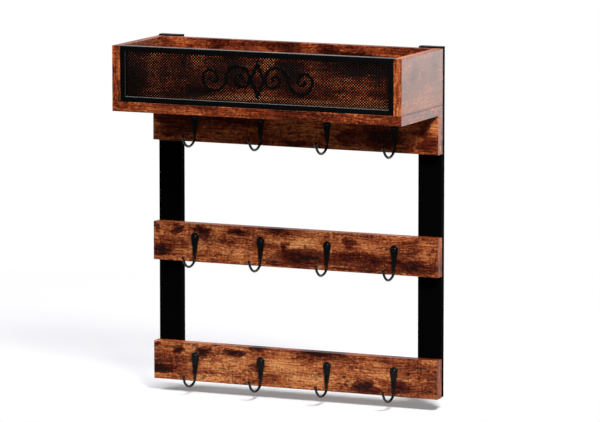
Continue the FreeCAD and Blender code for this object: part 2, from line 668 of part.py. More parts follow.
def make_hook(label, x, level):
    """A forged hook: a teardrop plate drawn out to round wire, bent into a bowl with a balled tip."""
    hook = new_body(label)
    tail_half = "(sizes.hook_wire / 2 + sizes.hook_shoulder)"
    pad(hook, plate_outline(hook, tail_half), f"2 * {tail_half}")
    thinning = sketch_on(hook, "thinning", "YZ_Plane", "-sizes.hook_plate_width")
    clear = "(-2 * sizes.hook_wire)"
    above = "(sizes.hook_rise + sizes.hook_wire)"
    polygon(thinning, [
        (f"-2 * {tail_half}", "sizes.hook_tail_rise"),
        ("-sizes.hook_plate_thickness", "sizes.hook_rise - sizes.hook_flat_length"),
        ("-sizes.hook_plate_thickness", above), (clear, above), (clear, "sizes.hook_tail_rise")])
    pocket(hook, thinning, None, along_normal=True)
    soften_plate(hook)
    bores(hook, "screw_hole", "XZ_Plane", 0, [("0", HOOK_HEAD)],
          "(sizes.hook_screw_diameter / 2 + sizes.screw_clearance)", None, along_normal=True)
    spine = wire_spine(hook, HOOK_AXIS)
    section = sketch_on(hook, "wire_section", "XY_Plane", "sizes.hook_tail_rise + sizes.hook_root")
    circles(section, [("0", HOOK_AXIS)], "sizes.hook_wire / 2")
    wire = hook.newObject("PartDesign::AdditivePipe", "wire")
    wire.Profile = section
    wire.Spine = spine
    doc.recompute()
    tip = hook.newObject("PartDesign::AdditiveSphere", "tip")
    tip.setExpression("Radius", "sizes.hook_tip_diameter / 2")
    tip.setExpression("Placement.Base.y", HOOK_TIP[0])
    tip.setExpression("Placement.Base.z", HOOK_TIP[1])
    doc.recompute()
    place(hook, x, RAIL_FRONT, level)


def turned(edges):
    """Return the solid that the edges of a closed profile sweep round Z."""
    return Part.Face(Part.Wire(edges)).revolve(FreeCAD.Vector(), FreeCAD.Vector(0, 0, 1), 360)


def profile(points):
    """Return the straight edges through (radius, height) points."""
    spots = [FreeCAD.Vector(radius, 0, height) for radius, height in points]
    return [Part.LineSegment(start, end).toShape() for start, end in zip(spots, spots[1:])]


def countersunk_screw(diameter, head, length):
    """Return a countersunk screw, its head's flat top at the origin and its point below."""
    radius = value(diameter) / 2
    rim = value(head) / 2
    reach = value(length)
    point = value("sizes.screw_point")
    return turned(profile([
        (0, 0), (rim, 0), (radius, radius - rim), (radius, point - reach), (0, -reach), (0, 0)]))


def domed_screw():
    """Return a hook's screw, the seat of its domed head at the origin and its point below."""
    radius = value("sizes.hook_screw_diameter") / 2
    rim = value("sizes.hook_screw_head") / 2
    crown = value("sizes.hook_screw_head_height")
    reach = value("sizes.hook_screw_length")
    point = value("sizes.screw_point")
    ball = (rim ** 2 + crown ** 2) / (2 * crown)
    turn = math.asin(rim / ball) / 2
    over = FreeCAD.Vector(ball * math.sin(turn), 0, crown - ball + ball * math.cos(turn))
    dome = Part.Arc(FreeCAD.Vector(0, 0, crown), over, FreeCAD.Vector(rim, 0, 0)).toShape()
    shank = profile([(rim, 0), (radius, 0), (radius, point - reach), (0, -reach), (0, crown)])
    return turned([dome] + shank)


def dowel():
    """Return a dowel with bevelled ends, centred on the origin along Z."""
    radius = value("sizes.dowel_diameter") / 2
    half = value("sizes.dowel_length") / 2
    bevel = value("sizes.dowel_chamfer")
    return turned(profile([
        (0, -half), (radius - bevel, -half), (radius, bevel - half), (radius, half - bevel),
        (radius - bevel, half), (0, half), (0, -half)]))


def fastener_group(label, piece, places, axis, angle):
    """Keep equal fasteners as one node of separate solids, each turned alike at its own place."""
    rotation = FreeCAD.Rotation(axis, angle)
    copies = []
    for x, y, z in places:
        copy = piece.copy()
        copy.Placement = FreeCAD.Placement(vector(x, y, z), rotation)
        copies.append(copy)
    shape_node(label, Part.makeCompound(copies))


def make_fasteners():
    """All screws and dowels, at the places that their holes take."""
    across = FreeCAD.Vector(1, 0, 0)
    post_screw = countersunk_screw("sizes.screw_diameter", "sizes.screw_head", "sizes.post_screw_length")
    rails, shelf = [], []
    for side in SIDES.values():
        for group, centres in zip((rails, shelf), post_centres(side)):
            group += [(f"{side} * {POST_CENTRE} + {x}", 0, f"{BOTTOM} + {z}") for x, z in centres]
    fastener_group("rail_screws", post_screw, rails, across, -90)
    fastener_group("shelf_screws", post_screw, shelf, across, -90)
    base_screw = countersunk_screw("sizes.screw_diameter", "sizes.screw_head", "sizes.base_screw_length")
    sides, back = base_screw_places()
    fastener_group("base_screws", base_screw, [(x, y, BASE_LEVEL) for x, y in sides + back], across, 180)
    frame_screw = countersunk_screw("sizes.screw_diameter", "sizes.screw_head", "sizes.frame_screw_length")
    under_frame = [(x, y, BASE_LEVEL) for x, y in frame_screw_places()]
    fastener_group("frame_screws", frame_screw, under_frame, across, 180)
    hanger_screw = countersunk_screw("sizes.hanger_screw_diameter", "sizes.hanger_screw_head",
                                     "sizes.hanger_screw_length")
    levels = [(f"{side} * {POST_CENTRE}", 0, z) for side in SIDES.values() for z in hanger_screw_levels()]
    fastener_group("hanger_screws", hanger_screw, levels, across, -90)
    seats = [(x, f"{RAIL_FRONT} - sizes.hook_plate_thickness", f"{level} + {HOOK_HEAD}")
             for level in RAIL_LEVELS.values() for x in HOOK_PLACES]
    fastener_group("hook_screws", domed_screw(), seats, across, 90)
    joints = [(f"{side} * ({TRAY_WIDTH} / 2 + sizes.dowel_depth - sizes.dowel_length / 2)", BACK_CENTRE,
               f"{TRAY_FLOOR} + {z}") for side in SIDES.values() for z in dowel_levels()]
    fastener_group("shelf_dowels", dowel(), joints, FreeCAD.Vector(0, 1, 0), 90)


def write_parts():
    """Check every object and every node's shape, then write one file for each node."""
    doc.recompute()
    failed = [item.Label for item in doc.Objects if {"Invalid", "Error"} & set(item.State)]
    broken = [node.Label for node in nodes if node.Shape.isNull() or not node.Shape.isValid()]
    if failed or broken:
        raise RuntimeError(f"failed objects {failed}, broken shapes {broken}")
    os.makedirs("parts", exist_ok=True)
    for node in nodes:
        node.Shape.exportStep(f"parts/{node.Label}.step")
    print(len(nodes), "nodes")


for side_name, side_sign in SIDES.items():
    make_post(side_name, side_sign)
    make_hanger(side_name, side_sign)
    make_side(side_name, side_sign)
make_base()
make_back()
make_frame()
make_mesh()
make_ornament()
for row_name, row_level in RAIL_LEVELS.items():
    make_rail(row_name, row_level)
    for number, hook_place in enumerate(HOOK_PLACES, start=1):
        make_hook(f"hook_{row_name}_{number}", hook_place, row_level)
make_fasteners()
write_parts()
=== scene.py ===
"""Looks of a wall-hung mug rack: rustic laminate boards on black posts, forged hooks, a mesh-fronted shelf.

Metres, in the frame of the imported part: +Z up, the front faces -Y, the wall is the plane y = 0.
"""
import logging
import math
from dataclasses import dataclass, replace
from enum import Enum
from functools import cache
from typing import Any, Iterable, Sequence

import bmesh
import bpy
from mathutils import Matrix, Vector


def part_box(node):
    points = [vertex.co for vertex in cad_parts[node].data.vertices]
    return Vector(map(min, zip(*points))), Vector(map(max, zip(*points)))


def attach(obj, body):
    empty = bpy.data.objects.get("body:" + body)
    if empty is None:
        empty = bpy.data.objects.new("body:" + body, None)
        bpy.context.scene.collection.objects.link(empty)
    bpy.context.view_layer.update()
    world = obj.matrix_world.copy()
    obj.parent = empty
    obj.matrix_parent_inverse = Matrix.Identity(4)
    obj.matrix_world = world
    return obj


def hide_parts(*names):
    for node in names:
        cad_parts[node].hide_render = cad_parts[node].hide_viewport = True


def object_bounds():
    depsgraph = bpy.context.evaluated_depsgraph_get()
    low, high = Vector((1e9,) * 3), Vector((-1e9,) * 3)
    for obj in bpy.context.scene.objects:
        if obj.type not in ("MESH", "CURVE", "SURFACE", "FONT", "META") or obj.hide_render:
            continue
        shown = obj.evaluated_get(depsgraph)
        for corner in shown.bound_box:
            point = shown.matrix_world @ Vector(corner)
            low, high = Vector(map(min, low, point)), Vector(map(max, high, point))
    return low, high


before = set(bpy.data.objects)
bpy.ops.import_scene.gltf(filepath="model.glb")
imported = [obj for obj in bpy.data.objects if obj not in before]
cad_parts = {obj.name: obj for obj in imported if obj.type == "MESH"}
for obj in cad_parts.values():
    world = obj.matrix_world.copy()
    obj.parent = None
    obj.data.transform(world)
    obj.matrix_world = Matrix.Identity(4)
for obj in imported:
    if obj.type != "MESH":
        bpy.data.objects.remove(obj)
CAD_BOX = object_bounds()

log = logging.getLogger("mug_rack")

Colour = tuple[float, float, float]
Point = tuple[float, float, float]
Span = tuple[float, float]
# Patches on a board: each middle as parts of the board's length and height, the half sizes in mm, and the strength.
Patches = tuple[tuple[float, float, float, float, float], ...]
Material, Mesh, Object = bpy.types.Material, bpy.types.Mesh, bpy.types.Object
Node, Socket, Tree = bpy.types.Node, bpy.types.NodeSocket, bpy.types.NodeTree
Sockets = dict[str, str]
NUMBER = "NodeSocketFloat"
VECTOR = "NodeSocketVector"
COLOUR = "NodeSocketColor"
GEOMETRY = "NodeSocketGeometry"

MM = 0.001
BODY = "root"
IMAGE_WIDTH = 600
UP: Point = (0.0, 0.0, 1.0)
TO_BACK: Point = (0.0, 1.0, 0.0)
WHITE: Colour = (1.0, 1.0, 1.0)
BLACK: Colour = (0.0, 0.0, 0.0)

# How far a normal leans along an axis: on a board's flat face, on its edge, and on an end across the grain.
FLAT_LEAN, EDGE_LEAN, END_LEAN = 0.75, 0.25, 0.7
# The leans over which a bar's rounded edge with a painted highlight begins and ends, and over which a face is a top.
ROUND_BEGINS, ROUND_ENDS, TOP_SPAN = (0.1, 0.3), (0.995, 0.95), (0.5, 0.9)

# A patch fades from its heart to its rim, in parts of its half sizes, and is deeper in mm than any board.
PATCH_HEART, PATCH_RIM, PATCH_DEPTH = 0.1, 1.5, 200.0
# What makes a patch ragged: noise features per metre along and across the grain, and their push in metres.
RAGGED_LAYERS = ((40.0, 70.0, 0.016), (150.0, 330.0, 0.008))
PUSH_ALONG = 2.2

# The laminate's layers of noise: features per metre along and across the grain, detail and roughness, and for those
# that are marks the noise at which a mark begins and is full.
GRAIN_LAYERS: dict[str, tuple[float, ...]] = {
    "cloud": (11, 34, 3, 0.6), "streak": (14, 300, 5, 0.68), "grit": (240, 420, 2, 0.7), "line": (16, 640, 0, 0.5),
    "saw": (460, 60, 1, 0.6), "fleck": (80, 300, 5, 0.78), "chip": (120, 420, 3, 0.7),
    "pores": (150, 520, 3, 0.65, 0.54, 0.62), "crack": (30, 620, 3, 0.62, 0.58, 0.66),
    "speck": (260, 420, 1, 0.6, 0.64, 0.7), "glint": (46, 440, 3, 0.65, 0.55, 0.65),
    "cluster": (16, 60, 2, 0.5, 0.44, 0.6), "dash": (48, 340, 3, 0.66, 0.52, 0.62),
}
CLOUD_TO_TONE = (0.32, 0.68, 0.405, 0.845)
CLUSTER_TO_GRIT = (0.0, 1.0, 0.85, 1.45)
SWAY = (0.2, 0.8, -0.005, 0.005)
HALO_SPAN, CORE_SPAN = (0.2, 0.46), (0.74, 0.94)
FLECK_SWING, STREAK_SWING, CHIP_SWING = 1.25, -0.6, 1.6
ROUGH_BASE, ROUGH_STREAK, ROUGH_CORE = 0.34, 0.16, 0.10
RELIEF_STREAK, RELIEF_GRIT, RELIEF_CRACK = 0.6, 0.35, 0.5
LAMINATE_TONES: tuple[tuple[float, Colour], ...] = (
    (0.00, (0.022, 0.0042, 0.0032)), (0.25, (0.084, 0.0165, 0.0072)), (0.45, (0.196, 0.041, 0.0152)),
    (0.62, (0.35, 0.089, 0.029)), (0.8, (0.53, 0.182, 0.06)), (1.00, (0.76, 0.34, 0.13)),
)
# The scorched patches' colours; inside the shelf the patches that take them also paint shade.
SCORCH_AND_SHADE_TINT: Colour = (0.3, 0.19, 0.22)
CHAR_AND_SHADE: Colour = (0.0125, 0.0026, 0.0026)
DASH_BROWN: Colour = (0.034, 0.013, 0.0105)
CRACK_BROWN: Colour = (0.014, 0.006, 0.0055)
STAIN_TINT: Colour = (0.94, 0.74, 0.62)

# A coat's rubbed spots and their share, and how dust shifts its roughness.
RUB_SPAN, RUB_SHARE, DUST_SHIFT = (0.52, 0.78), 0.5, (0.25, 0.75, -0.06, 0.06)

# Parts of a screw head's radius: the cross recess, and the rings of the two kinds of head.
CROSS_ARM, CROSS_HALF, CROSS_DEPTH = 0.5, 0.13, 0.42
CROSS_TAPER = 0.72
FLAT_TOP, FLAT_BEVEL, FLAT_RIM = 0.96, 0.02, 0.08
DOME_RINGS = (0.58, 0.72, 0.84, 0.93, 1.0)
DOME_UNDERCUT = 0.001
TIP = 0.15  # the point, as a part of the shank

RACK_MIDDLE: Point = (0.0, -0.08, -0.2)


class GrainAxis(Enum):
    """Which way a board's grain runs, as the turn about Z that brings it to X."""

    SIDEWAYS = 0.0
    FRONT_TO_BACK = -math.pi / 2


class BoardFace(Enum):
    """How a board lies once its grain runs along X: its large faces' axis, and the turn of its end grain."""

    UPRIGHT = (TO_BACK, (0.0, math.pi / 2, 0.0))
    LEVEL = (UP, (0.0, 0.0, math.pi / 2))


class HeadForm(Enum):
    """The two kinds of screw on the rack: the height of the head's crown, and the shank as a part of the head."""

    COUNTERSUNK = (0.0, 0.5)
    DOMED = (2.0 * MM, 0.53)


class HighlightSide(Enum):
    """The way that the edge with a painted highlight leans, away from the front."""

    TOP = UP
    RIGHT = (1.0, 0.0, 0.0)


class Facing(Enum):
    """Which way a screw's head looks, as the turn about X that brings it there from +Z."""

    BACK = -math.pi / 2
    DOWN = math.pi
    FRONT = math.pi / 2


class Graph:
    """Adds nodes to one node tree, and wires sockets or sets their values."""

    def __init__(self, tree: Tree) -> None:
        """Keep the tree that the nodes go into."""
        self.tree = tree

    def first(self, kind: str) -> Node:
        """Return the tree's first node of a type."""
        return next(item for item in self.tree.nodes if item.type == kind)

    def fill(self, item: Node, inputs: dict[Any, Any]) -> Any:
        """Link or set a node's inputs.

        Args:
            item: the node.
            inputs: sockets or values, by name or number.

        Returns:
            The node's outputs.
        """
        for key, value in inputs.items():
            if isinstance(value, Socket):
                self.tree.links.new(value, item.inputs[key])
            else:
                item.inputs[key].default_value = value
        return item.outputs

    def node(self, kind: str, inputs: dict[Any, Any] | None = None, **settings: Any) -> Any:
        """Add one node.

        Args:
            kind: the node's type name.
            inputs: sockets or values, by name or number.
            settings: properties of the node.

        Returns:
            The node's outputs.
        """
        item = self.tree.nodes.new(kind)
        for name, setting in settings.items():
            setattr(item, name, setting)
        return self.fill(item, inputs or {})

    def call(self, kind: str, inputs: dict[Any, Any], output: Any = 0, **settings: Any) -> Socket:
        """Add one node and return one of its outputs, by name or number."""
        return self.node(kind, inputs, **settings)[output]

    def close(self, outputs: dict[Any, Any]) -> Tree:
        """Wire a group's outputs and return its tree."""
        self.fill(self.first("GROUP_OUTPUT"), outputs)
        return self.tree

    def math(self, operation: str, *values: Any) -> Socket:
        """Return the result of one sum on numbers."""
        return self.call("ShaderNodeMath", dict(enumerate(values)), operation=operation)

    def vector(self, operation: str, *values: Any, output: Any = 0) -> Socket:
        """Return the result of one sum on vectors."""
        return self.call("ShaderNodeVectorMath", dict(enumerate(values)), output, operation=operation)

    def parts(self, vector: Socket) -> Any:
        """Return a vector's three numbers."""
        return self.node("ShaderNodeSeparateXYZ", {0: vector})

    def dot(self, vector: Socket, axis: Point) -> Socket:
        """Return how far a vector runs along an axis."""
        return self.vector("DOT_PRODUCT", vector, axis, output="Value")

    def reach(self, position: Socket, middle: Any, half: Any) -> Socket:
        """Return the distance from a middle in parts of the half sizes; a half size of 0 leaves its axis out."""
        offset = self.vector("SUBTRACT", position, middle)
        return self.vector("LENGTH", self.vector("DIVIDE", offset, half), output="Value")

    def swing(self, noise: Socket, weight: Any, base: Any) -> Socket:
        """Return a base value that noise pushes up and down."""
        return self.math("MULTIPLY_ADD", self.math("SUBTRACT", noise, 0.5), weight, base)

    def remap(self, value: Any, low: float, high: float, to_low: float = 0.0, to_high: float = 1.0) -> Socket:
        """Return a number moved smoothly from one range to another."""
        inputs = dict(enumerate((value, low, high, to_low, to_high)))
        return self.call("ShaderNodeMapRange", inputs, interpolation_type="SMOOTHSTEP")

    def noise(self, vector: Any, scale: float, detail: float, seed: Any = 0.0, rough: float = 0.55) -> Socket:
        """Return a seeded noise value from 0 to 1."""
        inputs = {"Vector": vector, "Scale": scale, "Detail": detail, "Roughness": rough, "W": seed}
        return self.call("ShaderNodeTexNoise", inputs, noise_dimensions="4D")

    def drawn_out(self, vector: Any, along: float, across: float, detail: float, rough: float, seed: Any) -> Socket:
        """Return noise drawn out along the grain: features per metre along it and across it."""
        scaled = self.vector("MULTIPLY", vector, (along, across, across))
        return self.noise(scaled, 1.0, detail, seed, rough)

    def mix(self, factor: Any, first: Any, second: Any, blend: str = "MIX") -> Socket:
        """Return a mix of two colours."""
        first, second = ((*value, 1.0) if isinstance(value, tuple) else value for value in (first, second))
        return self.call("ShaderNodeMix", {0: factor, 6: first, 7: second}, 2, data_type="RGBA", blend_type=blend)

    def ramp(self, value: Any, stops: Sequence[tuple[float, Colour]]) -> Socket:
        """Pick a colour from a row of stops.

        Args:
            value: the number that picks.
            stops: places from 0 to 1, and their colours.

        Returns:
            The colour.
        """
        item = self.tree.nodes.new("ShaderNodeValToRGB")
        elements = item.color_ramp.elements
        for place, _ in stops[2:]:
            elements.new(place)
        for element, (place, colour) in zip(elements, stops):
            element.position, element.color = place, (*colour, 1.0)
        return self.fill(item, {0: value})[0]

    def group(self, tree: Tree, inputs: dict[str, Any]) -> Any:
        """Place a shader group and return its outputs."""
        return self.node("ShaderNodeGroup", inputs, node_tree=tree)


def new_group(name: str, inputs: Sockets, outputs: Sockets, kind: str = "ShaderNodeTree") -> tuple[Graph, Any]:
    """Start a node group with named sockets.

    Args:
        name: the group's name.
        inputs: input names and their socket types.
        outputs: output names and their socket types.
        kind: the tree's type.

    Returns:
        The graph, and the group's inputs by name.
    """
    tree = bpy.data.node_groups.new(name, kind)
    for way, sockets in (("INPUT", inputs), ("OUTPUT", outputs)):
        for label, socket in sockets.items():
            tree.interface.new_socket(label, in_out=way, socket_type=socket)
    graph = Graph(tree)
    graph.node("NodeGroupOutput")
    return graph, graph.node("NodeGroupInput")


@cache
def grain_frame() -> Tree:
    """Build the group that picks the grain's run on each face: along the board, and turned on its ends.

    Returns:
        The group.
    """
    graph, given = new_group(
        "grain_frame", {"Along": VECTOR, "On Ends": VECTOR, "Normal": VECTOR}, {"Vector": VECTOR})
    is_end = graph.math("GREATER_THAN", graph.math("ABSOLUTE", graph.parts(given["Normal"])[0]), END_LEAN)
    pick = graph.call("ShaderNodeMix", {0: is_end, 4: given["Along"], 5: given["On Ends"]}, 1, data_type="VECTOR")
    return graph.close({0: pick})


@cache
def oval_patch() -> Tree:
    """Build the group for one patch: an oval that fades from its strength inside to 0 outside.

    Returns:
        The group.
    """
    graph, given = new_group(
        "oval_patch", {"Position": VECTOR, "Centre": VECTOR, "Half Size": VECTOR, "Strength": NUMBER},
        {"Mask": NUMBER})
    reach = graph.reach(given["Position"], given["Centre"], given["Half Size"])
    inside = graph.remap(reach, PATCH_RIM, PATCH_HEART)
    return graph.close({0: graph.math("MULTIPLY", inside, given["Strength"])})


@cache
def ragged_shift() -> Tree:
    """Build the group that shifts a position by noise, so that patches get ragged outlines.

    Returns:
        The group.
    """
    graph, given = new_group("ragged", {"Vector": VECTOR, "Seed": NUMBER}, {"Vector": VECTOR})
    vector = given["Vector"]
    for along, across, push in RAGGED_LAYERS:
        scaled = graph.vector("MULTIPLY", given["Vector"], (along, across, across))
        inputs = {"Vector": scaled, "Scale": 1.0, "Detail": 3.0, "W": given["Seed"]}
        colour = graph.call("ShaderNodeTexNoise", inputs, "Color", noise_dimensions="4D")
        centred = graph.vector("SUBTRACT", colour, (0.5, 0.5, 0.5))
        vector = graph.vector("ADD", vector, graph.vector("MULTIPLY", centred, (push * PUSH_ALONG, push, push)))
    return graph.close({0: vector})


@cache
def board_grain() -> Tree:
    """Build the group for the rustic laminate: clouds, streaks, saw marks, cracks and scorched patches.

    Inside the shelf some of the scorched patches paint shade, and some of the pale ones paint light.

    Returns:
        The group.
    """
    graph, given = new_group(
        "board_grain",
        {"Vector": VECTOR, "Seed": NUMBER, "Scorch And Shade": NUMBER, "Pale": NUMBER, "Stain": NUMBER, "Shade": NUMBER},
        {"Colour": COLOUR, "Roughness": NUMBER, "Height": NUMBER})
    seed = given["Seed"]
    sway = graph.remap(graph.drawn_out(given["Vector"], along=9, across=22, detail=2, rough=0.5, seed=seed), *SWAY)
    bend = graph.call("ShaderNodeCombineXYZ", {1: sway, 2: sway})
    vector = graph.vector("ADD", given["Vector"], bend)
    layers = {}
    for name, (along, across, detail, rough, *mark) in GRAIN_LAYERS.items():
        noise = graph.drawn_out(vector, along, across, detail, rough, seed)
        layers[name] = graph.remap(noise, *mark) if mark else noise
    streak, grit, crack = layers["streak"], layers["grit"], layers["crack"]

    tone = graph.remap(layers["cloud"], *CLOUD_TO_TONE)
    gritty = graph.remap(layers["cluster"], *CLUSTER_TO_GRIT)
    for layer, weight in ((streak, 0.66), (grit, gritty), (layers["line"], 0.55), (layers["saw"], 0.38)):
        tone = graph.swing(layer, weight, tone)
    for layer, weight in ((given["Pale"], 0.26), (layers["glint"], 0.12), (layers["pores"], -0.27)):
        tone = graph.math("MULTIPLY_ADD", layer, weight, tone)
    colour = graph.ramp(graph.math("SUBTRACT", tone, given["Shade"]), LAMINATE_TONES)
    # The scorch halo and char core; inside the shelf they also paint shade.
    ragged = graph.swing(streak, STREAK_SWING, graph.swing(layers["fleck"], FLECK_SWING, given["Scorch And Shade"]))
    core = graph.remap(graph.swing(layers["chip"], CHIP_SWING, ragged), *CORE_SPAN)
    colour = graph.mix(graph.remap(ragged, *HALO_SPAN), colour, SCORCH_AND_SHADE_TINT, "MULTIPLY")
    dash = graph.math("MULTIPLY", layers["dash"], layers["cluster"])
    dark = graph.math("MAXIMUM", crack, layers["speck"])
    for mask, share, brown in ((core, 0.95, CHAR_AND_SHADE), (dash, 0.62, DASH_BROWN), (dark, 0.78, CRACK_BROWN)):
        colour = graph.mix(graph.math("MULTIPLY", mask, share), colour, brown)
    rough = graph.math("MULTIPLY_ADD", streak, ROUGH_STREAK, ROUGH_BASE)
    relief = graph.math("MULTIPLY_ADD", grit, RELIEF_GRIT, graph.math("MULTIPLY", streak, RELIEF_STREAK))
    return graph.close({
        "Colour": graph.mix(given["Stain"], colour, STAIN_TINT, "MULTIPLY"),
        "Roughness": graph.math("MULTIPLY_ADD", core, ROUGH_CORE, rough),
        "Height": graph.math("SUBTRACT", relief, graph.math("MULTIPLY", crack, RELIEF_CRACK))})


@cache
def coat_peel() -> Tree:
    """Build the group for a sprayed coat: a fine peel, and dust and rubbing that vary its sheen.

    Returns:
        The group.
    """
    graph, given = new_group(
        "coat_peel", {"Vector": VECTOR, "Peel": NUMBER, "Colour": COLOUR, "Rubbed": COLOUR, "Roughness": NUMBER},
        {"Colour": COLOUR, "Roughness": NUMBER, "Height": NUMBER})
    peel = graph.math("MULTIPLY", given["Peel"], graph.noise(given["Vector"], scale=1600, detail=2))
    cloud = graph.noise(given["Vector"], scale=38, detail=3, seed=2.0)
    rub = graph.remap(graph.noise(given["Vector"], scale=260, detail=4, seed=5.0), *RUB_SPAN)
    shift = graph.remap(cloud, *DUST_SHIFT)
    return graph.close({
        "Colour": graph.mix(graph.math("MULTIPLY", rub, RUB_SHARE), given["Colour"], given["Rubbed"]),
        "Roughness": graph.math("ADD", given["Roughness"], shift), "Height": peel})


@dataclass(frozen=True)
class Surface:
    """A material under way: its graph, its shader, and its object coordinates and normals."""

    material: Material
    graph: Graph
    shader: Node
    spot: Socket
    normal: Socket

    def put(self, inputs: dict[str, Any]) -> None:
        """Feed the shader's inputs by name."""
        self.graph.fill(self.shader, inputs)

    def bump(self, height: Socket, distance: float, strength: float) -> None:
        """Raise the surface by a height value."""
        inputs = {"Height": height, "Distance": distance, "Strength": strength}
        self.put({"Normal": self.graph.call("ShaderNodeBump", inputs)})


def new_surface(name: str) -> Surface:
    """Start a material with a principled shader.

    Args:
        name: the material's name.

    Returns:
        The surface to build on.
    """
    material = bpy.data.materials.new(name)
    material.use_nodes = True
    graph = Graph(material.node_tree)
    coordinates = graph.node("ShaderNodeTexCoord")
    return Surface(material, graph, graph.first("BSDF_PRINCIPLED"), coordinates["Object"], coordinates["Normal"])


@dataclass(frozen=True)
class RusticBoard:
    """Brown wood-grain laminate with scorched and pale patches, for one board.

    Inside the shelf the patches paint shade and light as well as print.

    Shade darkens the print, and edge_lift takes some of it off the edges. Stain colours the large faces, and a painted
    glare, an even brown over the print, flattens their grain; the edges take all of the stain and none of the painted
    glare. The front's sheen is that of the faces to the front and back.
    """

    node: str
    seed: float
    grain: GrainAxis = GrainAxis.SIDEWAYS
    face: BoardFace = BoardFace.UPRIGHT
    scorch_and_shade: Patches = ()
    pales: Patches = ()
    shade: float = 0.0
    stain: float = 0.0
    edge_lift: float = 0.0
    # painted glare: how much an even brown flattens the large faces' grain, and that brown
    glare_flattening: float = 0.0
    glare_flat_colour: Colour = (0.2, 0.055, 0.022)
    front_sheen: float = 0.09
    side_sheen: float = 0.20
    relief: float = 0.35
    relief_height: float = 0.25 * MM

    def patch_mask(self, spots: Patches, position: Socket, graph: Graph) -> Any:
        """Join patches into one mask.

        Args:
            spots: the patches.
            position: where the board is shaded, with a ragged shift.
            graph: the material's graph.

        Returns:
            The strongest patch at each point.
        """
        low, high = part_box(self.node)
        if self.grain is GrainAxis.FRONT_TO_BACK:
            low, high = Vector((low.y, -high.x, low.z)), Vector((high.y, -low.x, high.z))
        mask: Any = 0.0
        for along, up, half_length, half_height, strength in spots:
            if self.face is BoardFace.LEVEL:
                parts, half = (along, up, 0.5), (half_length, half_height, PATCH_DEPTH)
            else:
                parts, half = (along, 0.5, up), (half_length, PATCH_DEPTH, half_height)
            middle = Vector(low[axis] + parts[axis] * (high[axis] - low[axis]) for axis in range(3))
            spot = graph.group(oval_patch(), {
                "Position": position, "Centre": middle, "Half Size": Vector(half) * MM, "Strength": strength})
            mask = graph.math("MAXIMUM", mask, spot[0])
        return mask

    def material(self) -> Material:
        """Build the board's material.

        Returns:
            The material.
        """
        surface = new_surface(f"rustic_{self.node}")
        graph = surface.graph
        axis, end_turn = self.face.value
        turn = {"Rotation": (0.0, 0.0, self.grain.value)}
        position = graph.call("ShaderNodeMapping", {"Vector": surface.spot, **turn})
        normal = graph.call("ShaderNodeMapping", {"Vector": surface.normal, **turn})
        ends = graph.call("ShaderNodeMapping", {"Vector": position, "Rotation": end_turn})
        vector = graph.group(grain_frame(), {"Along": position, "On Ends": ends, "Normal": normal})[0]
        ragged = graph.group(ragged_shift(), {"Vector": position, "Seed": self.seed})[0]
        edge = graph.remap(graph.math("ABSOLUTE", graph.dot(normal, axis)), FLAT_LEAN, EDGE_LEAN)
        grain = graph.group(board_grain(), {
            "Vector": vector, "Seed": self.seed,
            "Scorch And Shade": self.patch_mask(self.scorch_and_shade, ragged, graph),
            "Pale": self.patch_mask(self.pales, ragged, graph),
            "Stain": graph.math("MULTIPLY_ADD", edge, 1.0 - self.stain, self.stain),
            "Shade": graph.math("MULTIPLY_ADD", edge, -self.edge_lift, self.shade)})
        # painted glare: the even brown covers the large faces and spares the edges
        glare_flattening = graph.math("MULTIPLY_ADD", edge, -self.glare_flattening, self.glare_flattening)
        ahead = graph.math("ABSOLUTE", graph.dot(surface.normal, TO_BACK))
        surface.put({
            "Base Color": graph.mix(glare_flattening, grain["Colour"], self.glare_flat_colour), "Roughness": grain["Roughness"],
            "Specular IOR Level": graph.remap(ahead, EDGE_LEAN, FLAT_LEAN, self.side_sheen, self.front_sheen)})
        surface.bump(grain["Height"], self.relief_height, self.relief)
        return surface.material


@dataclass(frozen=True)
class Coat:
    """A sprayed colour coat: fine peel, rubbed spots, and maybe a painted highlight on one edge, or glossy tops."""

    name: str
    colour: Colour
    rubbed: Colour
    roughness: float
    peel: float
    specular: float
    highlight_side: HighlightSide = HighlightSide.TOP
    edge_highlight: float = 0.0
    highlight_colour: Colour = (0.44, 0.44, 0.45)
    top_sheen: float = 0.0
    peel_height: float = 0.12 * MM
    peel_shown: float = 0.4

    @cache
    def material(self) -> Material:
        """Build the coat's material once.

        Returns:
            The material.
        """
        surface = new_surface(self.name)
        graph = surface.graph
        coat = graph.group(coat_peel(), {
            "Vector": surface.spot, "Peel": self.peel, "Colour": (*self.colour, 1.0),
            "Rubbed": (*self.rubbed, 1.0), "Roughness": self.roughness})
        colour, sheen = coat["Colour"], self.specular
        # painted highlight: a pale band on the rounded edge that leans to one side, in place of that edge's highlight
        if self.edge_highlight:
            lean = graph.dot(surface.normal, self.highlight_side.value)
            rounded = graph.math("MULTIPLY", graph.remap(lean, *ROUND_BEGINS), graph.remap(lean, *ROUND_ENDS))
            colour = graph.mix(graph.math("MULTIPLY", rounded, self.edge_highlight), colour, self.highlight_colour)
        if self.top_sheen:
            sheen = graph.remap(graph.dot(surface.normal, UP), *TOP_SPAN, self.specular, self.top_sheen)
        surface.put({"Base Color": colour, "Roughness": coat["Roughness"], "Specular IOR Level": sheen})
        surface.bump(coat["Height"], self.peel_height, self.peel_shown)
        return surface.material


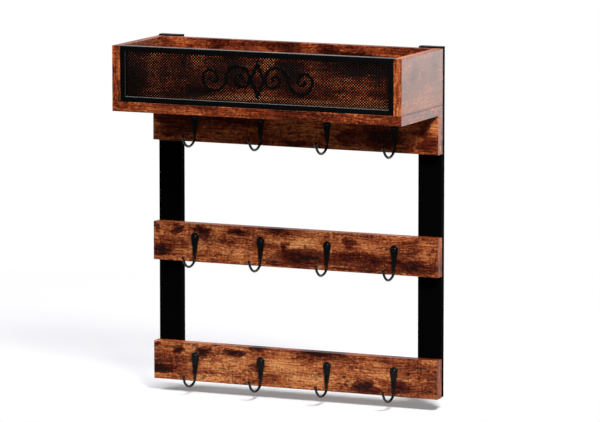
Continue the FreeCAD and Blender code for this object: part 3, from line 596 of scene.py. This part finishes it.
@dataclass(frozen=True)
class ZincPlate:
    """Bright zinc plating with a faint brushed haze."""

    name: str = "zinc_plate"
    colour: Colour = (0.62, 0.63, 0.66)
    haze: Colour = (0.48, 0.49, 0.53)

    @cache
    def material(self) -> Material:
        """Build the plating's material once.

        Returns:
            The material.
        """
        surface = new_surface(self.name)
        graph = surface.graph
        cloud = graph.remap(graph.noise(surface.spot, scale=420, detail=4, seed=1.0), 0.3, 0.7)
        surface.put({
            "Base Color": graph.mix(cloud, self.colour, self.haze), "Metallic": 1.0,
            "Roughness": graph.math("MULTIPLY_ADD", cloud, 0.16, 0.24)})
        brushed = graph.drawn_out(surface.spot, along=300, across=3000, detail=2, rough=0.6, seed=3.0)
        surface.bump(brushed, 0.05 * MM, 0.25)
        return surface.material


@dataclass(frozen=True)
class BareBeech:
    """Pale turned beech with short flecks."""

    name: str = "bare_beech"
    pale: Colour = (0.6, 0.43, 0.27)
    fleck: Colour = (0.42, 0.26, 0.14)

    def material(self) -> Material:
        """Build the beech's material.

        Returns:
            The material.
        """
        surface = new_surface(self.name)
        graph = surface.graph
        flecks = graph.drawn_out(surface.spot, along=350, across=2200, detail=3, rough=0.6, seed=4.0)
        mask = graph.remap(flecks, 0.45, 0.7)
        surface.put({
            "Base Color": graph.mix(mask, self.pale, self.fleck),
            "Roughness": graph.math("MULTIPLY_ADD", mask, 0.1, 0.62)})
        surface.bump(flecks, 0.1 * MM, 0.3)
        return surface.material


def dress_nodes(material: Material, *nodes: str) -> None:
    """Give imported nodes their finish.

    Args:
        material: the finish.
        nodes: the nodes' names.
    """
    for node in nodes:
        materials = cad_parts[node].data.materials
        if materials:
            materials[0] = material
        else:
            materials.append(material)
        log.info("dressed %s in %s", node, material.name)


def dress_boards(boards: Iterable[RusticBoard]) -> None:
    """Give each board its own laminate."""
    for board in boards:
        dress_nodes(board.material(), board.node)


def add_object(name: str, data: bpy.types.ID) -> Object:
    """Put an object in the scene, at the origin.

    Args:
        name: the object's name.
        data: its mesh, light or camera.

    Returns:
        The object.
    """
    thing = bpy.data.objects.new(name, data)
    bpy.context.scene.collection.objects.link(thing)
    return thing


def grow_piece(name: str, tree: Tree, seed_mesh: Mesh, inputs: dict[str, Any], slot: str, *nodes: str) -> None:
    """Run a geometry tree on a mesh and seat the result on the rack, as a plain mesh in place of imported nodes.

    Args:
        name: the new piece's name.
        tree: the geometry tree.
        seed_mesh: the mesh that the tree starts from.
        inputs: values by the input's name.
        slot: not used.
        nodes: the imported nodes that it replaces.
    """
    piece = add_object(name, seed_mesh)
    modifier = piece.modifiers.new("grow", "NODES")
    modifier.node_group = tree
    for item in tree.interface.items_tree:
        if item.item_type == "SOCKET" and item.in_out == "INPUT" and item.name in inputs:
            modifier[item.identifier] = inputs[item.name]
    evaluated = piece.evaluated_get(bpy.context.evaluated_depsgraph_get())
    mesh = bpy.data.meshes.new_from_object(evaluated)
    mesh.name = name
    piece.modifiers.remove(modifier)
    piece.data = mesh
    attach(piece, BODY)
    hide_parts(*nodes)
    log.info("built %s with %d faces", name, len(mesh.polygons))


def loose_boxes(node: str) -> list[tuple[Vector, Vector]]:
    """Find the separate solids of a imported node.

    Args:
        node: the node's name.

    Returns:
        The lowest and highest corner of each solid.
    """
    copy = bmesh.new()
    copy.from_mesh(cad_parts[node].data)
    bmesh.ops.remove_doubles(copy, verts=copy.verts, dist=1e-6)
    boxes = []
    unseen = set(copy.verts)
    while unseen:
        solid, fresh = set(), {unseen.pop()}
        while fresh:
            solid |= fresh
            fresh = {edge.other_vert(vertex) for vertex in fresh for edge in vertex.link_edges} - solid
        unseen -= solid
        columns = list(zip(*(vertex.co for vertex in solid)))
        boxes.append((Vector(map(min, columns)), Vector(map(max, columns))))
    copy.free()
    return sorted(boxes, key=lambda box: tuple(round(value, 5) for value in box[0]))


def ring_pairs(ring: Sequence[Any]) -> Iterable[tuple[Any, Any]]:
    """Return each item of a ring with the one after it."""
    return zip(ring, (*ring[1:], ring[0]))


# The finishes that pieces share.
ZINC = ZincPlate()
POWDER = Coat("powder_black", (0.0012, 0.0012, 0.0013), (0.0026, 0.0026, 0.0027), 0.28, 0.5, 0.2)
FORGED = Coat("forged_black", (0.0012, 0.0013, 0.0015), (0.0032, 0.0033, 0.0036), 0.34, 1.0, 0.22)


@dataclass
class Posts:
    """The two black uprights and the keyhole plates let into their backs."""

    posts: tuple[str, str] = ("left_post", "right_post")
    hangers: tuple[str, str] = ("left_hanger", "right_hanger")
    coat: Coat = Coat(
        "black_board", (0.0012, 0.0012, 0.0013), (0.0024, 0.0024, 0.0023), 0.8, 0.8, 0.005, top_sheen=0.9)

    def dress(self) -> None:
        """Give the posts their paint and the plates their zinc."""
        dress_nodes(self.coat.material(), *self.posts)
        dress_nodes(ZINC.material(), *self.hangers)


# Scorched patches that the print repeats on two of the rails.
LEFT_BURNS: Patches = (
    (0.085, 0.82, 10, 8, 1.05), (0.177, 0.81, 14, 10, 1.15), (0.032, 0.27, 19, 9, 1.2), (0.008, 0.86, 5, 9, 0.8),
    (0.298, 0.83, 20, 5, 1.05))


@dataclass
class HookRails:
    """The three boards that carry the hooks."""

    boards: tuple[RusticBoard, ...] = (
        RusticBoard(
            "middle_rail", 3.1, shade=0.07, stain=0.35, side_sheen=0.11,
            scorch_and_shade=LEFT_BURNS + (
                (0.07, 0.45, 38, 26, 0.46), (0.27, 0.62, 26, 9, 0.4), (0.44, 0.95, 18, 5, 0.95),
                (0.384, 0.61, 7, 7, 0.75), (0.53, 0.27, 56, 16, 0.98), (0.475, 0.53, 5, 8, 0.95),
                (0.545, 0.52, 5, 7, 0.8), (0.419, 0.14, 13, 7, 0.95), (0.692, 0.75, 13, 9, 0.8),
                (0.71, 0.28, 62, 17, 0.7), (0.776, 0.33, 23, 3.5, 1.0), (0.91, 0.2, 50, 12, 0.9)),
            pales=(
                (0.25, 0.4, 46, 18, 1.3), (0.425, 0.3, 12, 9, 1.5), (0.52, 0.66, 24, 10, 1.6),
                (0.8, 0.66, 36, 13, 1.1), (0.96, 0.66, 16, 13, 0.9), (0.2, 0.08, 50, 5, 0.9))),
        RusticBoard(
            "bottom_rail", 7.4, shade=0.085, stain=0.15, side_sheen=0.16,
            scorch_and_shade=LEFT_BURNS + (
                (0.37, 0.99, 17, 5, 0.95), (0.375, 0.5, 12, 9, 0.72), (0.6, 0.97, 41, 4.5, 0.95),
                (0.743, 0.2, 18, 11, 1.15), (0.72, 0.67, 4, 2.5, 0.9), (0.876, 0.25, 19, 10, 0.82),
                (0.904, 0.62, 4, 3, 1.0), (0.79, 0.1, 12, 5, 0.8)),
            pales=(
                (0.467, 0.6, 40, 18, 0.85), (0.64, 0.45, 55, 21, 0.8), (0.82, 0.62, 40, 13, 1.1),
                (0.2, 0.1, 55, 6, 0.9), (0.25, 0.5, 26, 14, 0.4))),
        # Painted light and shade: in the shelf's shadow, the top rail's print is lighter and redder than the others'.
        RusticBoard(
            "top_rail", 12.6, shade=-0.04, stain=1.0,
            scorch_and_shade=(
                (0.97, 0.3, 22, 18, 0.5), (0.8, 0.4, 34, 22, 1.0), (0.95, 0.62, 8, 16, 0.8),
                (0.7, 0.32, 26, 14, 0.85), (0.3, 0.62, 60, 10, 0.7), (0.08, 0.45, 38, 24, 0.75),
                (0.5, 0.12, 30, 5, 0.7)),
            pales=((0.48, 0.5, 44, 16, 0.5),)),
    )

    def dress(self) -> None:
        """Give each rail its own laminate."""
        dress_boards(self.boards)


@dataclass
class BoxShelf:
    """The open box on top: floor, back and two ends, and the dowels between them."""

    dowels: str = "shelf_dowels"
    boards: tuple[RusticBoard, ...] = (
        # Painted light and shade with the print: the floor is paler where it shows lit through the mesh, darker at its
        # ends.
        RusticBoard(
            "shelf_base", 21.3, face=BoardFace.LEVEL, shade=0.17, edge_lift=-0.06, front_sheen=0.04, side_sheen=0.31,
            relief=0.15,
            scorch_and_shade=((0.15, 0.78, 32, 36, 1.5), (0.95, 0.75, 24, 40, 0.9)),
            pales=((0.36, 0.78, 60, 40, 1.8), (0.66, 0.7, 80, 40, 1.4), (0.8, 0.48, 60, 44, 1.7))),
        # Painted shade and light with the print: a darker back, dark bands under the top bar, pale zones lower down.
        RusticBoard(
            "shelf_back", 26.8, shade=0.27, stain=1.0, front_sheen=0.05,
            scorch_and_shade=(
                (0.08, 0.6, 5, 12, 1.1), (0.215, 0.94, 16, 12, 0.62), (0.13, 0.06, 22, 9, 1.3),
                (0.27, 0.45, 16, 26, 1.0), (0.475, 0.45, 20, 24, 1.2), (0.62, 0.9, 22, 8, 0.9),
                (0.88, 0.62, 70, 14, 1.1), (0.46, 0.92, 40, 8, 0.9), (0.7, 0.74, 60, 10, 1.1),
                (0.74, 0.58, 52, 9, 1.2)),
            pales=(
                (0.03, 0.3, 12, 16, 0.8), (0.1, 0.95, 36, 11, 1.55), (0.14, 0.62, 16, 30, 1.9),
                (0.35, 0.05, 55, 8, 1.6), (0.405, 0.6, 12, 16, 1.8), (0.56, 0.36, 14, 14, 1.9),
                (0.72, 0.26, 66, 12, 0.9), (0.74, 0.02, 80, 9, 1.8))),
        # Painted shade with the print: the left side is darker on its large faces than on its edges.
        RusticBoard(
            "shelf_left_side", 31.5, grain=GrainAxis.FRONT_TO_BACK, shade=0.24, edge_lift=0.2,
            scorch_and_shade=((0.36, 0.4, 34, 26, 1.0), (0.52, 0.78, 24, 11, 0.75)),
            pales=((0.84, 0.6, 30, 40, 0.9),)),
        # The right side's grain is flattened by a painted glare.
        RusticBoard(
            "shelf_right_side", 36.2, grain=GrainAxis.FRONT_TO_BACK, shade=0.16, edge_lift=0.26, glare_flattening=0.5,
            side_sheen=0.25, relief=0.1,
            scorch_and_shade=(
                (0.29, 0.68, 16, 24, 0.75), (0.82, 0.7, 21, 27, 0.75), (0.28, 0.62, 7, 9, 1.0),
                (0.52, 0.58, 12, 14, 0.5))),
    )

    def dress(self) -> None:
        """Give each board its own laminate, and the dowels bare beech."""
        dress_boards(self.boards)
        dress_nodes(BareBeech().material(), self.dowels)


@dataclass
class MeshFront:
    """The framed front of the shelf: four bars, a fine diamond mesh and a cut-out ornament on it.

    The mesh has columns by rows of diamonds in the opening and reaches into the bars' rebate by its seat, less what is
    spare there, in halves of a diamond's height.
    """

    bars: tuple[tuple[str, Coat], ...] = (
        ("frame_top_bar", POWDER), ("frame_right_bar", POWDER),
        # The bottom bar has a painted highlight on its rounded edges that lean up, the left bar a faint one leaning
        # right.
        ("frame_bottom_bar", replace(POWDER, name="powder_bottom_bar", edge_highlight=0.26)),
        ("frame_left_bar", replace(POWDER, name="powder_left_bar", highlight_side=HighlightSide.RIGHT, edge_highlight=0.05)),
    )
    mesh_node: str = "front_mesh"
    ornament: str = "front_ornament"
    mesh_coat: Coat = Coat("strand_black", (0.0016, 0.0014, 0.0013), (0.0034, 0.0031, 0.003), 0.4, 0.4, 0.04)
    columns: int = 93
    rows: int = 16
    strand: float = 1.40 * MM
    seat: float = 2.8 * MM
    spare: float = 1.1

    def tree(self) -> Tree:
        """Build the tree that opens a sheet into diamonds.

        Returns:
            The geometry tree.
        """
        graph, given = new_group(
            "diamond_mesh",
            {"Geometry": GEOMETRY, "Cells": "NodeSocketInt", "Cell Side": NUMBER, "Height Ratio": NUMBER,
             "Width": NUMBER, "Height": NUMBER, "Open Part": NUMBER, "Thickness": NUMBER, "Place": VECTOR},
            {"Geometry": GEOMETRY}, "GeometryNodeTree")
        side = graph.math("MULTIPLY", given["Cells"], given["Cell Side"])
        count = graph.math("ADD", given["Cells"], 1.0)
        grid = graph.call("GeometryNodeMeshGrid", {0: side, 1: side, 2: count, 3: count})
        turned = graph.call("GeometryNodeTransform", {"Geometry": grid, "Rotation": (0.0, 0.0, math.pi / 4)})
        squash = graph.call("ShaderNodeCombineXYZ", {0: 1.0, 1: given["Height Ratio"], 2: 1.0})
        upright = graph.call(
            "GeometryNodeTransform", {"Geometry": turned, "Scale": squash, "Rotation": (math.pi / 2, 0.0, 0.0)})
        spot = graph.parts(graph.node("GeometryNodeInputPosition")[0])
        outside: Any = 0.0
        for axis, extent in ((0, given["Width"]), (2, given["Height"])):
            beyond = graph.math(
                "GREATER_THAN", graph.math("ABSOLUTE", spot[axis]), graph.math("MULTIPLY", extent, 0.5))
            outside = graph.math("MAXIMUM", outside, beyond)
        cut = graph.call("GeometryNodeDeleteGeometry", {0: upright, 1: outside}, domain="FACE")
        inset = graph.node(
            "GeometryNodeExtrudeMesh", {"Mesh": cut, "Offset Scale": 0.0, "Individual": True}, mode="FACES")
        shrunk = graph.call(
            "GeometryNodeScaleElements",
            {"Geometry": inset["Mesh"], "Selection": inset["Top"], "Scale": given["Open Part"]}, domain="FACE")
        holed = graph.call("GeometryNodeDeleteGeometry", {0: shrunk, 1: inset["Top"]}, domain="FACE")
        raised = graph.call(
            "GeometryNodeExtrudeMesh",
            {"Mesh": holed, "Offset Scale": given["Thickness"], "Individual": False}, mode="FACES")
        joined = graph.tree.nodes.new("GeometryNodeJoinGeometry")
        for part in (raised, graph.call("GeometryNodeFlipFaces", {0: holed})):
            graph.fill(joined, {0: part})
        whole = graph.call("GeometryNodeMergeByDistance", {"Geometry": joined.outputs[0], "Distance": 1e-6})
        placed = graph.call("GeometryNodeTransform", {"Geometry": whole, "Translation": given["Place"]})
        real = graph.call("GeometryNodeRealizeInstances", {0: placed})
        coat = self.mesh_coat.material()
        return graph.close({0: graph.call("GeometryNodeSetMaterial", {"Geometry": real, "Material": coat})})

    def build(self) -> None:
        """Make the fine mesh in the frame's rebate."""
        low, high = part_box(self.mesh_node)
        opening = Vector((high.x - low.x - 2 * self.seat, 0.0, high.z - low.z - 2 * self.seat))
        pitch = opening.x / self.columns
        rise = opening.z / self.rows
        side = pitch / math.sqrt(2)
        hidden = self.seat - self.spare * rise / 2
        inputs = {
            "Cells": 2 * math.ceil((opening.x + opening.z) / pitch / 2) + 2, "Cell Side": side,
            "Height Ratio": rise / pitch, "Width": opening.x + 2 * hidden, "Height": opening.z + 2 * hidden,
            "Open Part": 1 - self.strand / side, "Thickness": high.y - low.y,
            "Place": Vector(((low.x + high.x) / 2, high.y, (low.z + high.z) / 2))}
        seed_mesh = bpy.data.meshes.new("fine_mesh")
        grow_piece("fine_mesh", self.tree(), seed_mesh, inputs, "black_metal", self.mesh_node)

    def dress(self) -> None:
        """Coat the bars and the ornament."""
        for node, coat in (*self.bars, (self.ornament, POWDER)):
            dress_nodes(coat.material(), node)


@dataclass
class Hooks:
    """The twelve forged hooks."""

    rows: tuple[str, ...] = ("top", "middle", "bottom")
    in_row: int = 4

    def dress(self) -> None:
        """Coat the hooks."""
        numbers = range(1, self.in_row + 1)
        dress_nodes(FORGED.material(), *(f"hook_{row}_{number}" for row in self.rows for number in numbers))


@dataclass(frozen=True)
class ScrewForm:
    """One kind of screw, as a turned blank with a cross recess in its head; its length is without the crown."""

    form: HeadForm
    head_radius: float
    length: float
    sides: int = 24
    point: float = 4 * MM

    def rings(self) -> list[tuple[float, float]]:
        """Draw the turned blank's outline.

        Returns:
            Pairs of radius and height, from the rim of the flat top to the point.
        """
        rim = self.head_radius
        crown, shank = self.form.value[0], self.form.value[1] * rim
        if self.form is HeadForm.COUNTERSUNK:
            head = [(FLAT_TOP * rim, 0.0), (rim, -FLAT_BEVEL * rim), (rim, -FLAT_RIM * rim), (shank, shank - rim)]
        else:
            ball = (rim ** 2 + crown ** 2) / (2 * crown)
            head = [(part * rim, crown - ball + math.sqrt(ball ** 2 - (part * rim) ** 2)) for part in DOME_RINGS]
            head += [(rim, 0.0), (shank, -DOME_UNDERCUT * rim)]
        return head + [(shank, self.point - self.length), (TIP * shank, -self.length)]

    def cross(self, scale: float, height: float) -> list[Point]:
        """Find the corners of the cross recess at one height.

        Args:
            scale: its size there, as a part of its mouth.
            height: the height.

        Returns:
            The twelve corners.
        """
        arm, half = CROSS_ARM * self.head_radius * scale, CROSS_HALF * self.head_radius * scale
        corners = [(arm, -half), (arm, half), (half, half)]
        for _ in range(3):
            corners += [(-y, x) for x, y in corners[-3:]]
        return [(x, y, height) for x, y in corners]

    def mesh(self, name: str) -> Mesh:
        """Build the screw with its head's top at +Z.

        Args:
            name: the mesh's name.

        Returns:
            The mesh, centred on the Z axis.
        """
        work = bmesh.new()
        rings = self.rings()
        loops = [[
            work.verts.new((size * math.cos(turn), size * math.sin(turn), level))
            for turn in (2 * math.pi * step / self.sides for step in range(self.sides))
        ] for size, level in rings]
        height = rings[0][1]
        mouth, floor = ([work.verts.new(corner) for corner in corners] for corners in (
            self.cross(1.0, height), self.cross(CROSS_TAPER, height - CROSS_DEPTH * self.head_radius)))
        for upper, lower in (*zip(loops, loops[1:]), (floor, mouth)):
            for (above, above_next), (below, below_next) in zip(ring_pairs(upper), ring_pairs(lower)):
                work.faces.new((above, below, below_next, above_next))
        work.faces.new(list(reversed(loops[-1])))
        work.faces.new(floor)
        edges = [work.edges.get(pair) for ring in (loops[0], mouth) for pair in ring_pairs(ring)]
        bmesh.ops.triangle_fill(work, use_beauty=True, edges=edges)
        bmesh.ops.recalc_face_normals(work, faces=work.faces)
        mesh = bpy.data.meshes.new(name)
        work.to_mesh(mesh)
        work.free()
        return mesh


@dataclass(frozen=True)
class ScrewSet:
    """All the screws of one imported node."""

    node: str
    facing: Facing
    seed: int
    form: HeadForm = HeadForm.COUNTERSUNK
    finish: Coat | ZincPlate = ZINC
    slot: str = "zinc_steel"

    def places(self) -> tuple[list[Vector], ScrewForm]:
        """Read the screws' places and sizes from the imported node.

        Returns:
            The middle of each head's seat, and the screw's form.
        """
        boxes = loose_boxes(self.node)
        crown = self.form.value[0]
        axis = 2 if self.facing is Facing.DOWN else 1
        spots = []
        for low, high in boxes:
            spot = (low + high) / 2
            spot[axis] = high[axis] if self.facing is Facing.BACK else low[axis] + crown
            spots.append(spot)
        low, high = boxes[0]
        return spots, ScrewForm(self.form, (high.x - low.x) / 2, high[axis] - low[axis] - crown)

    def build(self, tree: Tree, blank: Object) -> None:
        """Set one screw at each place of the node.

        Args:
            tree: the tree that sets screws.
            blank: the object that holds the screw.
        """
        spots, screw = self.places()
        blank.data = screw.mesh(f"{self.node}_blank")
        seeds = bpy.data.meshes.new(f"{self.node}_places")
        seeds.from_pydata(spots, [], [])
        turn = Vector((self.facing.value, 0.0, 0.0))
        inputs = {"Screw": blank, "Turn": turn, "Seed": self.seed, "Finish": self.finish.material()}
        grow_piece(f"{self.node}_turned", tree, seeds, inputs, self.slot, self.node)


@dataclass
class Fasteners:
    """Every screw on the rack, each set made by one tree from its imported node's places."""

    sets: tuple[ScrewSet, ...] = (
        ScrewSet("rail_screws", Facing.BACK, 1), ScrewSet("shelf_screws", Facing.BACK, 2),
        ScrewSet("hanger_screws", Facing.BACK, 3), ScrewSet("base_screws", Facing.DOWN, 4),
        ScrewSet("frame_screws", Facing.DOWN, 5),
        ScrewSet("hook_screws", Facing.FRONT, 6, HeadForm.DOMED, FORGED, "black_metal"),
    )

    def tree(self) -> Tree:
        """Build the tree that sets a screw at each point and turns its recess at random.

        Returns:
            The geometry tree.
        """
        graph, given = new_group(
            "screw_set",
            {"Geometry": GEOMETRY, "Screw": "NodeSocketObject", "Turn": "NodeSocketRotation",
             "Seed": "NodeSocketInt", "Finish": "NodeSocketMaterial"},
            {"Geometry": GEOMETRY}, "GeometryNodeTree")
        screw = graph.call("GeometryNodeObjectInfo", {"Object": given["Screw"]}, "Geometry")
        placed = graph.call(
            "GeometryNodeInstanceOnPoints",
            {"Points": given["Geometry"], "Instance": screw, "Rotation": given["Turn"]})
        spin = graph.call(
            "FunctionNodeRandomValue", {2: 0.0, 3: math.pi / 2, "Seed": given["Seed"]}, 1, data_type="FLOAT")
        angle = graph.call("ShaderNodeCombineXYZ", {2: spin})
        spun = graph.call("GeometryNodeRotateInstances", {"Instances": placed, "Rotation": angle, "Local Space": True})
        real = graph.call("GeometryNodeRealizeInstances", {0: spun})
        return graph.close({0: graph.call("GeometryNodeSetMaterial", {0: real, "Material": given["Finish"]})})

    def build(self) -> None:
        """Set all the screws."""
        tree = self.tree()
        blank = add_object("screw_blank", bpy.data.meshes.new("screw_blank"))
        for screws in self.sets:
            screws.build(tree, blank)
        bpy.data.objects.remove(blank)


@dataclass(frozen=True)
class Oval:
    """An oval zone of the floor: its middle, its half sizes and, in parts of them, where its rim fades."""

    middle: Point
    half: Point
    fade: Span

    def outside(self, graph: Graph, spot: Socket) -> Socket:
        """Return 0 inside the zone and 1 outside it."""
        return graph.remap(graph.reach(spot, self.middle, self.half), *self.fade)


@dataclass(frozen=True)
class Lamp:
    """A soft square lamp: where it hangs, the point that it looks at, its side in metres and its power in watts."""

    name: str
    place: Point
    aim: Point
    side: float
    power: float

    def hang(self) -> None:
        """Put the lamp in the scene, out of the camera's sight."""
        data = bpy.data.lights.new(self.name, "AREA")
        data.shape = "SQUARE"
        data.size = self.side
        data.energy = self.power
        lamp = add_object(self.name, data)
        lamp.location = self.place
        lamp.visible_camera = False
        lamp.rotation_euler = (Vector(self.aim) - Vector(self.place)).to_track_quat("-Z", "Y").to_euler()


@dataclass
class Studio:
    """The white floor, the lights and the camera.

    The lamps alone light the floor under the rack; in its lee, where the long shadow falls, the floor glows a little
    less and a little bluer than around it, a painted shadow that the lamps' own shadow there deepens. The spans say
    from where to where along Y mirrored rays see the white grow.
    """

    floor_drop: float = 12 * MM
    floor_half: float = 30.0
    under: Oval = Oval((0.025, 0.0, 0.0), (0.235, 0.2, 0.0), (0.95, 1.25))
    under_white: Colour = (0.9, 0.9, 0.92)
    under_bounce: Colour = (0.3, 0.3, 0.3)
    under_glow: Colour = (0.08, 0.08, 0.08)
    # painted shadow: the lee's glow is lower and bluish
    lee: Oval = Oval((-0.45, 0.4, 0.0), (0.9, 0.7, 0.0), (0.55, 1.05))
    lee_white: Colour = (0.42, 0.42, 0.42)
    lee_glow: Colour = (0.7, 0.694, 0.724)
    floor_span: Span = (-0.6, 0.1)
    world_span: Span = (-0.4, 0.2)
    front_white: float = 0.06
    world_fill: float = 0.16
    lamps: tuple[Lamp, ...] = (
        Lamp("key", (1.4, -1.55, 1.55), RACK_MIDDLE, 0.8, 100.0),
        Lamp("panel", (0.9, 1.4, 0.02), (0.2, -0.1, -0.02), 0.6, 7.8),
        Lamp("strip", (-0.75, -0.45, 1.7), RACK_MIDDLE, 0.5, 12.0),
        Lamp("low_fill", (0.35, -1.5, -0.28), (0.0, -0.05, -0.09), 0.6, 2.4),
    )
    focal_pixels: float = 5000.0
    sensor: float = 36.0
    camera_place: Point = (2.8794, -6.4983, 0.7915)
    yaw: float = 23.92
    pitch: float = 8.00
    clip_end: float = 100.0

    def seen(self, graph: Graph, place: Socket, span: Span) -> Socket:
        """Tell how white a place or direction shows: to the camera in full, to mirrored rays only behind the rack.

        Args:
            graph: the graph to add to.
            place: the position or the direction.
            span: from where to where along Y the white grows for mirrored rays.

        Returns:
            The white for camera rays and mirrored rays, and 0 for all others.
        """
        path = graph.node("ShaderNodeLightPath")
        mirrored = graph.math("MAXIMUM", path["Is Glossy Ray"], path["Is Transmission Ray"])
        growth = graph.remap(graph.parts(place)[1], *span, self.front_white, 1.0)
        return graph.math("MAXIMUM", path["Is Camera Ray"], graph.math("MULTIPLY", mirrored, growth))

    def set_world(self) -> None:
        """Make the surroundings white to the camera, white behind the rack and dim in front of it."""
        world = bpy.data.worlds.new("studio")
        bpy.context.scene.world = world
        world.use_nodes = True
        graph = Graph(world.node_tree)
        seen = self.seen(graph, graph.node("ShaderNodeTexCoord")["Generated"], self.world_span)
        graph.fill(graph.first("BACKGROUND"), {
            "Color": (*WHITE, 1.0), "Strength": graph.math("MAXIMUM", seen, self.world_fill)})

    def set_floor(self) -> None:
        """Lay a white floor that keeps the rack's shadows and fades into the surroundings."""
        level = CAD_BOX[0][2] - self.floor_drop
        half = self.floor_half
        mesh = bpy.data.meshes.new("floor")
        corners = [(x * half, y * half, level) for x, y in ((-1, -1), (1, -1), (1, 1), (-1, 1))]
        mesh.from_pydata(corners, [], [(0, 1, 2, 3)])
        floor = add_object("floor", mesh)
        surface = new_surface("white_floor")
        graph = surface.graph
        seen = self.seen(graph, surface.spot, self.floor_span)
        far = self.under.outside(graph, surface.spot)
        open_floor = self.lee.outside(graph, surface.spot)
        near = graph.mix(seen, self.under_bounce, self.under_white)
        around = graph.mix(open_floor, self.lee_white, BLACK)
        glow = graph.mix(open_floor, self.lee_glow, WHITE)
        from_below = graph.node("ShaderNodeNewGeometry")["Backfacing"]
        surface.put({
            "Base Color": graph.mix(far, near, around), "Roughness": 0.9, "Specular IOR Level": 0.0,
            "Emission Color": graph.mix(far, self.under_glow, glow), "Emission Strength": seen,
            "Alpha": graph.math("SUBTRACT", 1.0, from_below)})
        mesh.materials.append(surface.material)

    def set_camera(self) -> None:
        """Stand the camera where the photograph was taken from."""
        data = bpy.data.cameras.new("camera")
        data.sensor_fit = "HORIZONTAL"
        data.sensor_width = self.sensor
        data.lens = self.focal_pixels * self.sensor / IMAGE_WIDTH
        data.clip_end = self.clip_end
        camera = add_object("camera", data)
        camera.location = self.camera_place
        camera.rotation_euler = (math.radians(90 - self.pitch), 0.0, math.radians(self.yaw))
        bpy.context.scene.camera = camera

    def build(self) -> None:
        """Set up the whole studio."""
        bpy.context.scene.view_settings.view_transform = "Standard"
        self.set_world()
        self.set_floor()
        for lamp in self.lamps:
            lamp.hang()
        self.set_camera()
        log.info("studio ready")


def main() -> None:
    """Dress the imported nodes, build the finer pieces and set up the studio."""
    logging.basicConfig(level=logging.INFO, format="%(name)s: %(message)s")
    Posts().dress()
    HookRails().dress()
    BoxShelf().dress()
    front = MeshFront()
    front.build()
    front.dress()
    Hooks().dress()
    Fasteners().build()
    Studio().build()


if __name__ == "__main__":
    main()
